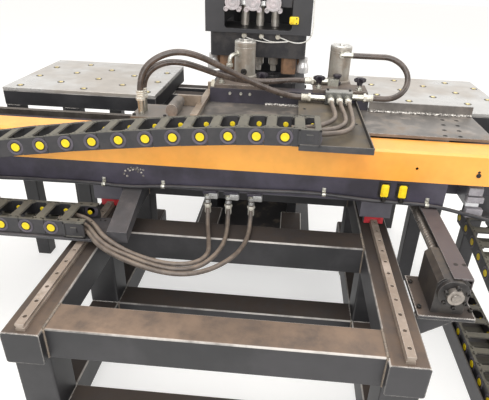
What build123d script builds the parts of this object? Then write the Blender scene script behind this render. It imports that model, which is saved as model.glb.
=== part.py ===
"""Plate punching machine with a two axis sheet feed, all sizes in millimetres.

The origin lies on the floor under the axis of the middle punch. +X points to the
operator's right, +Y runs from the operator into the press, +Z points up. The feed is
modelled at the end of its stroke nearest the press.
"""
from build123d import *
import math
import os

os.makedirs("parts", exist_ok=True)

# Floor stand that carries the lengthwise feed
rail_gauge = 950.0
stand_tube = 100.0
stand_tube_radius = 7.0
foot_height = 69.0
stand_beam_bottom = 378.0
stand_front_y = -1375.0
stand_rear_y = -170.0
cross_tube_front_y = -1351.0
cross_tube_middle_y = -880.0
cross_tube_rear_y = -410.0
foot_pad_radius = 38.0
foot_pad_thickness = 12.0
foot_stud_radius = 12.0

# Rails of the lengthwise feed
rail_width = 23.0
rail_height = 22.0
rail_waist = 15.0
rail_hole_pitch = 60.0
rail_hole_radius = 5.5
rail_hole_depth = 9.0
y_rail_front_y = -1365.0
y_rail_rear_y = -315.0
y_rail_first_hole = 30.0

# Rail carriages of the lengthwise feed
slide_gap = 0.5
y_block_width = 70.0
y_block_length = 84.0
y_block_lift = 6.0
y_block_height = 30.0
seal_thickness = 8.0
y_block_front_y = (-718.0, -592.0)

# Cross beam that the lengthwise feed carries
riser_width = 106.0
riser_front_y = -726.0
riser_rear_y = -500.0
beam_bottom = 612.0
beam_shelf = 697.0
beam_rib_height = 53.0
beam_left_x = -1560.0
beam_right_x = 1000.0
beam_body_front_y = -700.0
beam_body_rear_y = -505.0
panel_front_y = -809.0
panel_right_x = 666.0
rib_width = 60.0
cover_height = 105.0
cover_slope = 10.0
cover_screw_x = (560.0, 750.0, -560.0, -750.0)
cover_screw_rise = 46.0
cover_sheet = 3.0
cover_overhang = 1.0

# Cross rails and their carriages
x_rail_width = 20.0
x_rail_height = 20.0
x_rail_end_margin = 60.0
x_block_width = 44.0
x_block_length = 78.0
x_block_lift = 5.0
x_block_spread = 640.0

# Cross carriage
carriage_left_x = -180.0
carriage_right_x = 820.0
carriage_step_x = 445.0
carriage_front_y = -699.0
carriage_rear_y = -449.0
carriage_shelf_rear_y = -391.0
carriage_plate = 10.0
carriage_lip_height = 36.0
carriage_lip_thickness = 6.0
adjuster_hole_radius = 5.5
adjuster_hole_pitch_x = 49.0
adjuster_hole_pitch_y = 57.0
adjuster_first_x = 665.0
adjuster_first_y = -683.0

# Hose tray on the cross carriage
tray_left_x = 183.0
tray_right_x = 393.0
tray_front_y = -952.0
tray_rear_y = -456.0
tray_lift = 26.0
tray_sheet = 3.0
tray_lip = 16.0
tray_foot_width = 40.0

# Valve block and the fittings on it
manifold_left_x = 278.0
manifold_right_x = 374.0
manifold_front_y = -498.0
manifold_rear_y = -458.0
manifold_rise = 76.0
fitting_radius = 11.0
front_fitting_x = (296.0, 326.0, 356.0)
hose_post_x = -347.0
hose_post_y = (-672.0, -636.0)
hose_post_rise = 58.0
hose_a_end_x = 226.0
hose_a_end_y = -480.0
hose_b_end_x = 238.0
hose_b_y = -372.0
hose_c_start_x = 375.0
hose_c_start_y = -356.0
hose_c_drop = 20.0
hose_c_end_x = 415.6
hose_c_end_y = -476.0
hose_drawn_level = 812.0

# Clamps that hold the sheet
clamp_centres = (-34.0, 335.0)
clamp_rail_left_x = -150.0
clamp_rail_right_x = 442.0
clamp_rail_front_y = -447.0
clamp_rail_rear_y = -397.0
clamp_rail_height = 54.0
clamp_width = 96.0
clamp_flange_width = 200.0
clamp_stop_y = -345.0
clamp_tip_y = -258.0
clamp_flange_thickness = 14.0
clamp_jaw_height = 14.0
clamp_roof_thickness = 16.0
sheet_line = 826.0
clamp_cylinder_radius = 41.0
clamp_cylinder_height = 130.0
clamp_cylinder_y = -300.0
clamp_rod_radius = 14.0
clamp_pad_radius = 26.0
clamp_pad_thickness = 8.0
clamp_open_gap = 14.0
running_gap = 0.05

# Locating gauge at the left end of the cross carriage
gauge_bar_x = -165.0
gauge_bar_width = 24.0
gauge_bar_height = 13.0
gauge_bar_front_y = -690.0
gauge_bar_rear_y = -372.0
gauge_base_left_x = -376.0
gauge_base_front_y = -706.0
gauge_base_rear_y = -560.0
gauge_base_thickness = 12.0
gauge_cylinder_x = -236.0
gauge_cylinder_lift = 38.0
gauge_cylinder_radius = 20.0
gauge_rod_radius = 6.0
gauge_yoke_y = -556.0
gauge_yoke_thickness = 12.0
gauge_travel = 45.0

# Drag chains
chain_pitch = 80.0
chain_plate = 5.0
chain_side_gap = 2.0
chain_bar_width = 26.0
chain_bar_thickness = 6.0
x_chain_width = 120.0
x_chain_height = 54.0
y_chain_width = 120.0
y_chain_height = 54.0

# Chain supports
ledge_top = 520.0
ledge_thickness = 8.0
ledge_front_y = -1005.0
ledge_rear_y = -868.0
ledge_left_x = -1540.0
ledge_right_x = -384.0
chain_arm_x = -353.0
chain_post_x = (-1400.0, -900.0)
chain_post_front_y = -802.0
chain_post_rear_y = -752.0
chain_arm_width = 62.0
chain_arm_front_y = -995.0
chain_arm_depth = 36.0
trough_left_x = 840.0
trough_right_x = 980.0
trough_front_y = -1240.0
trough_rear_y = -386.0
trough_floor = 46.0
trough_sheet = 5.0
trough_wall_top = 72.0
y_chain_centre_x = 910.0
y_chain_anchor_y = -508.0

# Courses of the drag chains
x_chain_start_x = 223.0
x_chain_start_rise = 58.0
x_chain_low_z = 549.0
x_chain_bend_x = -1000.0
x_chain_low_end_x = -462.0
x_chain_upper_y = -884.5
x_chain_lower_y = -937.5
x_chain_skew_x = -700.0
x_chain_droop = 30.0
x_chain_droop_span = 393.0
x_chain_droop_power = 1.45
y_chain_start_y = -520.0
y_chain_start_z = 424.0
y_chain_low_z = 74.0
y_chain_bend_y = -1100.0
y_chain_low_end_y = -420.0
y_chain_droop = 40.0
y_chain_droop_span = 268.0
y_chain_droop_power = 1.1
x_chain_split = (15, 20)
y_chain_split = (7, 12)

# Ball screw of the lengthwise feed
y_screw_x = 602.0
y_screw_z = 567.0
y_screw_radius = 14.0
y_journal_radius = 12.0
y_screw_front_y = -1222.0
y_lock_nut_radius = 22.0
y_lock_nut_length = 18.0
screw_shelf_top = 492.0
screw_shelf_thickness = 12.0
screw_shelf_left_x = 525.0
screw_shelf_right_x = 675.0
screw_gusset_depth = 90.0
screw_shelf_front_y = -1203.0
screw_shelf_front_length = 175.0
screw_shelf_rear_y = -390.0
screw_shelf_rear_length = 230.0
bearing_front_y = -1200.0
bearing_front_length = 160.0
bearing_rear_y = -380.0
bearing_rear_length = 50.0
bearing_half_width = 42.0
bearing_top = 604.0
bearing_cap_radius = 40.0
bearing_cap_thickness = 14.0
guard_sheet = 3.0
guard_left_x = 618.0
guard_front_y = -1190.0
guard_skirt_bottom = 520.0
y_nut_radius = 25.0
y_nut_front_y = -440.0
y_nut_rear_y = -395.0
servo_flange = 110.0
servo_body = 96.0
servo_flange_length = 20.0
servo_length = 150.0

# Ball screw of the cross feed
x_screw_y = -602.5
x_screw_lift = 31.0
x_screw_radius = 13.0
x_journal_radius = 11.0
x_support_thickness = 30.0
x_support_half_width = 37.0
x_support_inset = 40.0
x_nut_half_width = 30.0
x_nut_length = 90.0
x_servo_radius = 46.0
end_block_left_x = 742.0
end_block_width = 42.0
end_block_front_y = -790.0

# Press frame
press_half_width = 220.0
press_side_plate = 45.0
press_front_y = -110.0
press_rear_y = 820.0
press_base_top = 40.0
press_base_half_width = 300.0
press_base_front_y = -160.0
press_base_rear_y = 900.0
press_bed_top = 760.0
press_throat_rear_y = 520.0
press_head_bottom = 1018.0
press_top = 1560.0
press_throat_radius = 60.0
press_back_plate = 30.0
foundation_hole_radius = 11.0
foundation_inset_x = 30.0
foundation_inset_y = 40.0
bolster_bottom = 560.0
bolster_rear_y = 230.0
crown_bottom = 1340.0
crown_top = 1400.0
crown_rear_y = 420.0

# Press head cover with its window
head_plate = 20.0
head_window_half_width = 140.0
head_window_bottom = 1034.0
head_window_top = 1470.0
head_window_radius = 12.0

# Ram, punches and dies
punch_pitch = 66.0
punch_count = 3
ram_travel = 25.0
ram_half_width = 136.0
ram_bottom = 1121.0
ram_top = 1300.0
ram_front_y = -100.0
ram_rear_y = 100.0
ram_neck_radius = 55.0
piston_radius = 90.0
piston_thickness = 50.0
piston_bottom = 1480.0
cylinder_outer_radius = 130.0
cylinder_top = 1700.0
cylinder_flange_radius = 165.0
cylinder_flange_thickness = 35.0
cap_thickness = 60.0
cap_radius = 140.0
pressure_port_radius = 10.0
pressure_port_depth = 20.0
pressure_port_x = 70.0
gag_width = 50.0
gag_thickness = 18.0
gag_slot_bottom = 2.0
gag_out_y = -26.0
gag_travel = 45.0
selector_pitch = 83.0
selector_centre_x = -21.0
selector_radius = 30.0
selector_length = 46.0
selector_ear_radius = 9.0
selector_ear_drop = 26.0
selector_ear_spread = 26.0
selector_rod_radius = 6.0
punch_tail_radius = 17.0
punch_tail_top = 1119.0
punch_pocket_radius = 21.0
punch_shoulder_radius = 22.0
punch_tip_radius = 12.0
punch_tip_bottom = 842.0
punch_tip_length = 26.0
guide_half_width = 205.0
guide_half_depth = 90.0
guide_bottom = 915.0
stripper_inner_x = 104.0
stripper_outer_x = 168.0
stripper_half_depth = 80.0
stripper_bottom = 846.0
pillar_bottom = 850.0
pillar_radius = 16.0
pillar_x = 188.0
die_holder_half_width = 172.0
die_holder_half_depth = 100.0
die_holder_top = 812.0
die_radius = 28.0
die_bore_radius = 13.0

# Sheet tables on both sides of the press
table_inner_x = 380.0
table_outer_x = 1005.0
table_front_y = -381.0
table_rear_y = 150.0
table_top = 805.0
table_plate = 12.0
table_tube = 60.0
table_leg_x = (700.0, 945.0)
table_tie_y = (-60.0, 60.0)

# Hoses and cables
supply_hose_radius = 6.5
clamp_hose_radius = 10.5
conduit_radius = 6.0
supply_fitting_x = (-105.0, -34.0, 44.0)
supply_fitting_y = -785.0
supply_fitting_bottom = 580.0

# Travels that the solids leave room for
y_travel = 580.0
x_travel_left = 1420.0
x_travel_right = 80.0

# Levels and places that follow from the sizes above
half_gauge = rail_gauge / 2
stand_half_tube = stand_tube / 2
rail_top = stand_beam_bottom + stand_tube + rail_height
block_bottom = rail_top - rail_height + y_block_lift
block_top = block_bottom + y_block_height
beam_rib_top = beam_shelf + beam_rib_height
cover_top = beam_shelf + cover_height
cover_shoulder = cover_top - cover_slope
x_screw_z = beam_shelf + x_screw_lift
plate_bottom = cover_top
plate_top = plate_bottom + carriage_plate
x_rail_top = beam_rib_top + x_rail_height
x_rail_y = (beam_body_front_y + rib_width / 2, beam_body_rear_y - rib_width / 2)
punch_x = [punch_pitch * (i - (punch_count - 1) / 2) for i in range(punch_count)]
selector_x = [selector_centre_x + selector_pitch * (i - 1) for i in range(punch_count)]
clamp_floor = plate_top
tray_floor = plate_top + tray_lift
manifold_top = plate_top + manifold_rise
fitting_level = manifold_top - 22
hose_post_top = plate_top + hose_post_rise
gauge_cylinder_z = plate_top + gauge_cylinder_lift
clamp_mouth = plate_top + clamp_jaw_height
clamp_rail_top = plate_top + clamp_rail_height
clamp_roof = clamp_rail_top + clamp_flange_thickness
clamp_cylinder_top = clamp_roof + clamp_cylinder_height
hose_b_z = clamp_roof + 13
hose_c_start_z = clamp_cylinder_top - hose_c_drop
hose_rise = plate_top - hose_drawn_level
x_chain_start_z = plate_top + x_chain_start_rise
foundation_spacing_x = 2 * (press_base_half_width - foundation_inset_x)
foundation_spacing_y = press_base_rear_y - press_base_front_y - 2 * foundation_inset_y
foundation_first_y = press_base_front_y + foundation_inset_y


def block(x0, x1, y0, y1, z0, z1):
    """Box between two limits along each axis."""
    size = (abs(x1 - x0), abs(y1 - y0), abs(z1 - z0))
    return Pos((x0 + x1) / 2, (y0 + y1) / 2, (z0 + z1) / 2) * Box(*size)


def post(x, y, z0, z1, radius):
    """Round bar standing along Z."""
    return Pos(x, y, (z0 + z1) / 2) * Cylinder(radius, z1 - z0)


def bar_y(x, z, y0, y1, radius):
    """Round bar lying along Y."""
    return Pos(x, (y0 + y1) / 2, z) * Rot(90, 0, 0) * Cylinder(radius, y1 - y0)


def bar_x(y, z, x0, x1, radius):
    """Round bar lying along X."""
    return Pos((x0 + x1) / 2, y, z) * Rot(0, 90, 0) * Cylinder(radius, x1 - x0)


def prism_x(points, x0, x1):
    """Profile of (y, z) points carried along X."""
    face = make_face(Polyline([(x0, y, z) for y, z in points], close=True))
    return extrude(face, amount=x1 - x0, dir=(1, 0, 0))


def prism_y(points, y0, y1):
    """Profile of (x, z) points carried along Y."""
    face = make_face(Polyline([(x, y0, z) for x, z in points], close=True))
    return extrude(face, amount=y1 - y0, dir=(0, 1, 0))


def prism_z(points, z0, z1):
    """Profile of (x, y) points carried along Z."""
    face = make_face(Polyline([(x, y, z0) for x, y in points], close=True))
    return extrude(face, amount=z1 - z0, dir=(0, 0, 1))


def square_tube(x0, x1, y0, y1, z0, z1, radius=stand_tube_radius):
    """Closed square tube whose long edges are rounded."""
    body = block(x0, x1, y0, y1, z0, z1)
    spans = {Axis.X: abs(x1 - x0), Axis.Y: abs(y1 - y0), Axis.Z: abs(z1 - z0)}
    longest = max(spans, key=spans.get)
    return fillet(body.edges().filter_by(longest), radius)


def save(name, *solids):
    """Write one named sub-part, as one solid or a group of like solids."""
    shapes = []
    for item in solids:
        shapes += list(item.solids())
    export_step(Compound(children=shapes), f"parts/{name}.step")


def mirrored(shape):
    """The same piece on the other side of the machine."""
    return mirror(shape, about=Plane.YZ)


# Floor stand
def cross_tube_starts():
    """Front faces of the three stations along the stand."""
    return (cross_tube_front_y, cross_tube_middle_y, cross_tube_rear_y)


def stand_frame():
    """Lengthwise beams, cross tubes, legs and lower tubes of the welded stand."""
    pieces = []
    inner = half_gauge - stand_half_tube
    outer = half_gauge + stand_half_tube
    beam_top = stand_beam_bottom + stand_tube
    lower_top = foot_height + stand_tube
    for side in (-1, 1):
        pieces.append(square_tube(side * inner, side * outer, stand_front_y, stand_rear_y,
                                  stand_beam_bottom, beam_top))
        pieces.append(square_tube(side * inner, side * outer, stand_front_y, stand_rear_y,
                                  foot_height, lower_top))
        for y in cross_tube_starts():
            pieces.append(square_tube(side * inner, side * outer, y, y + stand_tube,
                                      lower_top, stand_beam_bottom))
    for y in cross_tube_starts():
        pieces.append(square_tube(-inner, inner, y, y + stand_tube,
                                  stand_beam_bottom, beam_top))
        pieces.append(square_tube(-inner, inner, y, y + stand_tube,
                                  foot_height, lower_top))
    tie_x = press_half_width - press_side_plate / 2
    for side in (-1, 1):
        pieces.append(square_tube(side * tie_x - stand_half_tube, side * tie_x + stand_half_tube,
                                  cross_tube_rear_y + stand_tube, press_front_y,
                                  foot_height, lower_top))
    for front, length in ((screw_shelf_front_y, screw_shelf_front_length),
                          (screw_shelf_rear_y, screw_shelf_rear_length)):
        pieces.append(screw_shelf(front, length))
    return pieces


def screw_shelf(front, length):
    """Shelf and gusset welded to the outer face of the right beam."""
    shelf = block(screw_shelf_left_x, screw_shelf_right_x, front, front + length,
                  screw_shelf_top - screw_shelf_thickness, screw_shelf_top)
    under = screw_shelf_top - screw_shelf_thickness
    rise = beam_outer_top() - under
    gusset = prism_y([(screw_shelf_left_x, under), (screw_shelf_right_x - 20, under),
                      (screw_shelf_left_x, under - screw_gusset_depth - rise)],
                     front + 20, front + 32)
    return shelf + gusset


def beam_outer_top():
    """Top level of the stand's beams."""
    return stand_beam_bottom + stand_tube


def levelling_feet():
    """Screw feet under the stand and under the table legs."""
    places = []
    for y in cross_tube_starts():
        for side in (-1, 1):
            places.append((side * half_gauge, y + stand_half_tube, foot_height))
    pieces = []
    for x, y, top in places:
        outline = [(0, 0), (foot_pad_radius, 0), (foot_pad_radius, foot_pad_thickness / 2),
                   (foot_stud_radius + 6, foot_pad_thickness + 6),
                   (foot_stud_radius, foot_pad_thickness + 6), (foot_stud_radius, top), (0, top)]
        face = make_face(Polyline([(r, 0, z) for r, z in outline], close=True))
        pieces.append(Pos(x, y, 0) * revolve(face, Axis.Z))
    return pieces


def rail_profile(width, height, waist, centre, base):
    """Rail section with waisted flanks, as (across, up) points."""
    half = width / 2
    neck = waist / 2
    return [(centre - half, base), (centre + half, base), (centre + half, base + 0.36 * height),
            (centre + neck, base + 0.55 * height), (centre + half, base + 0.74 * height),
            (centre + half, base + height), (centre - half, base + height),
            (centre - half, base + 0.74 * height), (centre - neck, base + 0.55 * height),
            (centre - half, base + 0.36 * height)]


def y_rails():
    """Two guide rails on the stand, with counterbored fixing holes."""
    pieces = []
    base = beam_outer_top()
    for side in (-1, 1):
        x = side * half_gauge
        rail = prism_y(rail_profile(rail_width, rail_height, rail_waist, x, base),
                       y_rail_front_y, y_rail_rear_y)
        count = int((y_rail_rear_y - y_rail_front_y - y_rail_first_hole) / rail_hole_pitch) + 1
        holes = [post(x, y_rail_front_y + y_rail_first_hole + rail_hole_pitch * k,
                      rail_top - rail_hole_depth, rail_top + 1, rail_hole_radius)
                 for k in range(count)]
        pieces.append(rail - holes)
    return pieces


# Rail carriages and the cross beam
def y_slide_blocks():
    """Four rail carriages that straddle the rails, without their end seals."""
    pieces = []
    slot = rail_width / 2 + slide_gap
    for side in (-1, 1):
        x = side * half_gauge
        for front in y_block_front_y:
            body = block(x - y_block_width / 2, x + y_block_width / 2, front + seal_thickness,
                         front + y_block_length - seal_thickness, block_bottom, block_top)
            groove = block(x - slot, x + slot, front, front + y_block_length,
                           block_bottom - 1, rail_top + slide_gap)
            pieces.append(body - groove)
    return pieces


def block_seals():
    """Red end seals on both ends of each rail carriage."""
    pieces = []
    slot = rail_width / 2 + slide_gap
    inset = 2
    for side in (-1, 1):
        x = side * half_gauge
        for front in y_block_front_y:
            for start in (front, front + y_block_length - seal_thickness):
                body = block(x - y_block_width / 2 + inset, x + y_block_width / 2 - inset,
                             start, start + seal_thickness, block_bottom + 1, block_top - inset)
                groove = block(x - slot, x + slot, start, start + seal_thickness,
                               block_bottom, rail_top + slide_gap)
                pieces.append(body - groove)
    return pieces


def risers():
    """Spacer blocks between the rail carriages and the beam."""
    pieces = []
    for side in (-1, 1):
        x = side * half_gauge
        pieces.append(block(x - riser_width / 2, x + riser_width / 2, riser_front_y,
                            riser_rear_y, block_top, beam_bottom))
    return pieces


def main_beam():
    """Cross beam: a box section, two ribs for the cross rails and the front duct."""
    section = [(beam_body_front_y, beam_bottom), (beam_body_rear_y, beam_bottom),
               (beam_body_rear_y, beam_rib_top), (beam_body_rear_y - rib_width, beam_rib_top),
               (beam_body_rear_y - rib_width, beam_shelf),
               (beam_body_front_y + rib_width, beam_shelf),
               (beam_body_front_y + rib_width, beam_rib_top),
               (beam_body_front_y, beam_rib_top)]
    body = prism_x(section, beam_left_x, beam_right_x)
    duct = prism_x([(panel_front_y, beam_bottom + 8), (panel_front_y + 8, beam_bottom),
                    (beam_body_front_y, beam_bottom), (beam_body_front_y, beam_shelf),
                    (panel_front_y, beam_shelf)],
                   beam_left_x, panel_right_x)
    return body + duct


def beam_cover():
    """Folded yellow cover along the front of the beam, with a sloping shoulder."""
    front = panel_front_y - cover_overhang
    top_front = panel_front_y + 12
    rear = beam_body_front_y
    t = cover_sheet
    section = [(front, beam_shelf), (front + t, beam_shelf), (front + t, cover_shoulder - 1),
               (top_front + 1, cover_top - t - 5), (rear, cover_top - t - 5),
               (rear, cover_top - 5), (top_front, cover_top - 5), (front, cover_shoulder)]
    cover = prism_x(section, beam_left_x, beam_right_x)
    for x in cover_screw_x:
        cover -= bar_y(x, beam_shelf + cover_screw_rise, front - 5, front + 10, 4.5)
    ends = []
    for low in (beam_left_x, beam_right_x - t):
        ends.append(prism_x([(front + t, beam_shelf), (rear, beam_shelf), (rear, cover_top - t - 5),
                             (top_front + 1, cover_top - t - 5), (front + t, cover_shoulder - 1)],
                            low, low + t))
    return cover + ends


def x_rails():
    """Two cross rails on the ribs of the beam."""
    pieces = []
    for y in x_rail_y:
        pieces.append(block(beam_left_x + x_rail_end_margin, beam_right_x - x_rail_end_margin,
                            y - x_rail_width / 2, y + x_rail_width / 2, beam_rib_top,
                            x_rail_top))
    return pieces


def x_slide_blocks():
    """Four rail carriages under the cross carriage's plate."""
    pieces = []
    middle = (carriage_left_x + carriage_right_x) / 2
    slot = x_rail_width / 2 + slide_gap
    for y in x_rail_y:
        for side in (-1, 1):
            x = middle + side * x_block_spread / 2
            body = block(x - x_block_length / 2, x + x_block_length / 2, y - x_block_width / 2,
                         y + x_block_width / 2, beam_rib_top + x_block_lift, plate_bottom)
            groove = block(x - x_block_length, x + x_block_length, y - slot, y + slot,
                           beam_rib_top, x_rail_top + slide_gap)
            pieces.append(body - groove)
    return pieces


def x_support_places():
    """Left faces of the bearing supports at both ends of the cross screw."""
    return (beam_left_x + x_support_inset, beam_right_x - x_support_inset - x_support_thickness)


def beam_end_blocks():
    """Bearing supports of the cross screw and the two terminal blocks in the recess."""
    pieces = []
    for x in x_support_places():
        support = block(x, x + x_support_thickness, x_screw_y - x_support_half_width,
                        x_screw_y + x_support_half_width, beam_shelf, x_screw_z + 36)
        pieces.append(support - bar_x(x_screw_y, x_screw_z, x - 5, x + x_support_thickness + 5,
                                      x_journal_radius + running_gap))
    for low, high, front in ((beam_bottom + 2, beam_bottom + 34, end_block_front_y),
                             (beam_bottom + 34, beam_shelf - 6, end_block_front_y + 12)):
        pieces.append(block(end_block_left_x, end_block_left_x + end_block_width, front,
                            beam_body_front_y, low, high))
    return pieces


def x_screw():
    """Cross ball screw with its two journals."""
    left, right = x_support_places()
    thread = bar_x(x_screw_y, x_screw_z, left + x_support_thickness + 2, right - 2, x_screw_radius)
    return thread + bar_x(x_screw_y, x_screw_z, left + 2, beam_right_x - 2, x_journal_radius)


def x_servo():
    """Servo motor on the right end face of the beam."""
    start = beam_right_x
    half = servo_flange / 2
    flange = block(start, start + servo_flange_length, x_screw_y - half, x_screw_y + half,
                   x_screw_z - half, x_screw_z + half)
    body = bar_x(x_screw_y, x_screw_z, start + servo_flange_length,
                 start + servo_flange_length + servo_length, x_servo_radius)
    return flange + body


# Cross carriage with its clamps
def carriage_plate_solid():
    """Carriage plate with its welded lip, adjuster holes and the screw nut below it."""
    outline = [(carriage_left_x, carriage_front_y), (carriage_right_x, carriage_front_y),
               (carriage_right_x, carriage_rear_y), (carriage_step_x, carriage_rear_y),
               (carriage_step_x, carriage_shelf_rear_y), (carriage_left_x, carriage_shelf_rear_y)]
    plate = prism_z(outline, plate_bottom, plate_top)
    lip = block(carriage_step_x, carriage_right_x, carriage_rear_y - carriage_lip_thickness,
                carriage_rear_y, plate_top, plate_top + carriage_lip_height)
    holes = []
    for column in range(2):
        for row in range(4):
            holes.append(post(adjuster_first_x + adjuster_hole_pitch_x * column + 12 * row,
                              adjuster_first_y + adjuster_hole_pitch_y * row,
                              plate_bottom - 1, plate_top + 1, adjuster_hole_radius))
    middle = (carriage_left_x + carriage_right_x) / 2
    nut = block(middle - x_nut_length / 2, middle + x_nut_length / 2,
                x_screw_y - x_nut_half_width, x_screw_y + x_nut_half_width,
                beam_shelf + 4, plate_bottom)
    nut -= bar_x(x_screw_y, x_screw_z, middle - x_nut_length, middle + x_nut_length,
                 x_screw_radius + running_gap)
    return plate + lip + nut - holes


def tray():
    """Folded tray for the hoses, on two feet that stand on the carriage plate."""
    t = tray_sheet
    floor = block(tray_left_x, tray_right_x, tray_front_y, tray_rear_y, tray_floor - t, tray_floor)
    front = block(tray_left_x, tray_right_x, tray_front_y, tray_front_y + t,
                  tray_floor, tray_floor + tray_lip)
    right = block(tray_right_x - t, tray_right_x, tray_front_y, tray_rear_y,
                  tray_floor, tray_floor + tray_lip)
    feet = []
    for x in (tray_left_x + 15, tray_right_x - 15 - tray_foot_width):
        feet.append(block(x, x + tray_foot_width, carriage_front_y + 10, tray_rear_y - 10,
                          plate_top, tray_floor - t))
    return floor + front + right + feet


def manifold():
    """Valve block at the rear of the tray."""
    body = block(manifold_left_x, manifold_right_x, manifold_front_y, manifold_rear_y,
                 tray_floor, manifold_top)
    return chamfer(body.edges().filter_by(Axis.X), 3)


def clamp_rail():
    """Dark bar that carries both clamps across the carriage."""
    return block(clamp_rail_left_x, clamp_rail_right_x, clamp_rail_front_y, clamp_rail_rear_y,
                 plate_top, clamp_rail_top)


def clamp_body(x):
    """C shaped clamp: lower jaw, back and roof, with a wide flange on the rail."""
    roof_bottom = clamp_roof - clamp_roof_thickness
    section = [(clamp_rail_rear_y, clamp_floor), (clamp_tip_y, clamp_floor),
               (clamp_tip_y, clamp_mouth), (clamp_stop_y, clamp_mouth), (clamp_stop_y, roof_bottom),
               (clamp_tip_y, roof_bottom), (clamp_tip_y, clamp_roof),
               (clamp_rail_rear_y, clamp_roof)]
    body = prism_x(section, x - clamp_width / 2, x + clamp_width / 2)
    flange = block(x - clamp_flange_width / 2, x + clamp_flange_width / 2, clamp_rail_front_y,
                   clamp_stop_y, clamp_rail_top, clamp_roof)
    bore = post(x, clamp_cylinder_y, roof_bottom - 1, clamp_roof + 1,
                clamp_rod_radius + running_gap)
    return body + flange - bore


def clamp_cylinder(x):
    """Round clamp cylinder with a foot ring, a bore for the rod and a top plug."""
    body = post(x, clamp_cylinder_y, clamp_roof, clamp_cylinder_top, clamp_cylinder_radius)
    groove = post(x, clamp_cylinder_y, clamp_cylinder_top - 16, clamp_cylinder_top - 12,
                  clamp_cylinder_radius + 1)
    groove -= post(x, clamp_cylinder_y, clamp_cylinder_top - 20, clamp_cylinder_top,
                   clamp_cylinder_radius - 2)
    bore = post(x, clamp_cylinder_y, clamp_roof - 1, clamp_cylinder_top - 50,
                clamp_rod_radius + running_gap)
    return body - groove - bore


def clamp_jaw(x):
    """Upper jaw pad on its piston rod."""
    pad_bottom = clamp_mouth + clamp_open_gap
    pad_top = pad_bottom + clamp_pad_thickness
    pad = post(x, clamp_cylinder_y, pad_bottom, pad_top, clamp_pad_radius)
    return pad + post(x, clamp_cylinder_y, pad_top, clamp_cylinder_top - 60, clamp_rod_radius)


def gauge_base():
    """Base plate, guide and air cylinder of the locating gauge."""
    top = plate_top + gauge_base_thickness
    plate = block(gauge_base_left_x, gauge_bar_x + gauge_bar_width / 2, gauge_base_front_y,
                  gauge_base_rear_y, plate_top, top)
    barrel = bar_y(gauge_cylinder_x, gauge_cylinder_z, gauge_base_front_y + 4,
                   gauge_base_rear_y - 30, gauge_cylinder_radius)
    cradle = block(gauge_cylinder_x - 14, gauge_cylinder_x + 14, gauge_base_front_y + 10,
                   gauge_base_rear_y - 40, top, gauge_cylinder_z)
    bore = bar_y(gauge_cylinder_x, gauge_cylinder_z, gauge_base_front_y + 20,
                 gauge_base_rear_y, gauge_rod_radius + running_gap)
    return plate + cradle + barrel - bore


def gauge_bar():
    """Gauge bar with the yoke and rod that the air cylinder pushes."""
    top = plate_top + gauge_base_thickness
    low = top + 0.3
    bar = block(gauge_bar_x - gauge_bar_width / 2, gauge_bar_x + gauge_bar_width / 2,
                gauge_bar_front_y, gauge_bar_rear_y, low, low + gauge_bar_height)
    tip = post(gauge_bar_x, gauge_bar_rear_y + 14, low - 8, low + 40, 8)
    tip += block(gauge_bar_x - 8, gauge_bar_x + 8, gauge_bar_rear_y, gauge_bar_rear_y + 14,
                 low, low + gauge_bar_height)
    yoke = block(gauge_cylinder_x - 12, gauge_bar_x, gauge_yoke_y,
                 gauge_yoke_y + gauge_yoke_thickness, low, gauge_cylinder_z + 12)
    rod = bar_y(gauge_cylinder_x, gauge_cylinder_z, gauge_base_rear_y - 100, gauge_yoke_y,
                gauge_rod_radius)
    return bar + tip + yoke + rod


def hose_fittings():
    """Hose ends on the valve block, the right clamp and the left hose posts."""
    pieces = [bar_x(hose_a_end_y, fitting_level - 8, hose_a_end_x, manifold_left_x, fitting_radius),
              bar_x(hose_c_end_y, fitting_level, manifold_right_x, hose_c_end_x, fitting_radius)]
    for x in front_fitting_x:
        pieces.append(bar_y(x, fitting_level, manifold_front_y - 34, manifold_front_y,
                            fitting_radius))
    port = block(290, 330, clamp_stop_y - 45, clamp_stop_y - 7, clamp_roof, clamp_roof + 26)
    port += bar_x(hose_b_y, hose_b_z, hose_b_end_x, 290, fitting_radius)
    pieces.append(port)
    elbow = bar_x(hose_c_start_y, hose_c_start_z, clamp_centres[1] - 4, hose_c_start_x,
                  fitting_radius - 1)
    elbow += bar_y(clamp_centres[1], hose_c_start_z, hose_c_start_y - 8,
                   clamp_cylinder_y - clamp_cylinder_radius + 1, fitting_radius - 1)
    elbow -= post(clamp_centres[1], clamp_cylinder_y, clamp_roof, clamp_cylinder_top,
                  clamp_cylinder_radius)
    pieces.append(elbow)
    for y in hose_post_y:
        pieces.append(post(hose_post_x, y, plate_top + gauge_base_thickness, hose_post_top,
                           fitting_radius))
    return pieces


# Drag chains
def chain_link(start, end, width, height, outer):
    """One link: two side plates with chamfered ends, joined by a top and a bottom bar.

    Outer and inner links alternate, so that neighbours overlap side by side at each pin.
    """
    span = (end - start).length
    half = height / 2
    nose = half * 0.92
    cut = half * 0.55
    side = width / 2 - chain_plate / 2 - (0 if outer else chain_plate + chain_side_gap)
    outline = [(-nose, -half + cut), (-nose + cut, -half), (span + nose - cut, -half),
               (span + nose, -half + cut), (span + nose, half - cut), (span + nose - cut, half),
               (-nose + cut, half), (-nose, half - cut)]
    plate = prism_y(outline, -chain_plate / 2, chain_plate / 2)
    reach = side - chain_plate / 2
    link = Pos(0, side, 0) * plate + Pos(0, -side, 0) * plate
    middle = span / 2
    for level in (-half, half - chain_bar_thickness):
        link += block(middle - chain_bar_width / 2, middle + chain_bar_width / 2, -reach, reach,
                      level, level + chain_bar_thickness)
    return link


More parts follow.
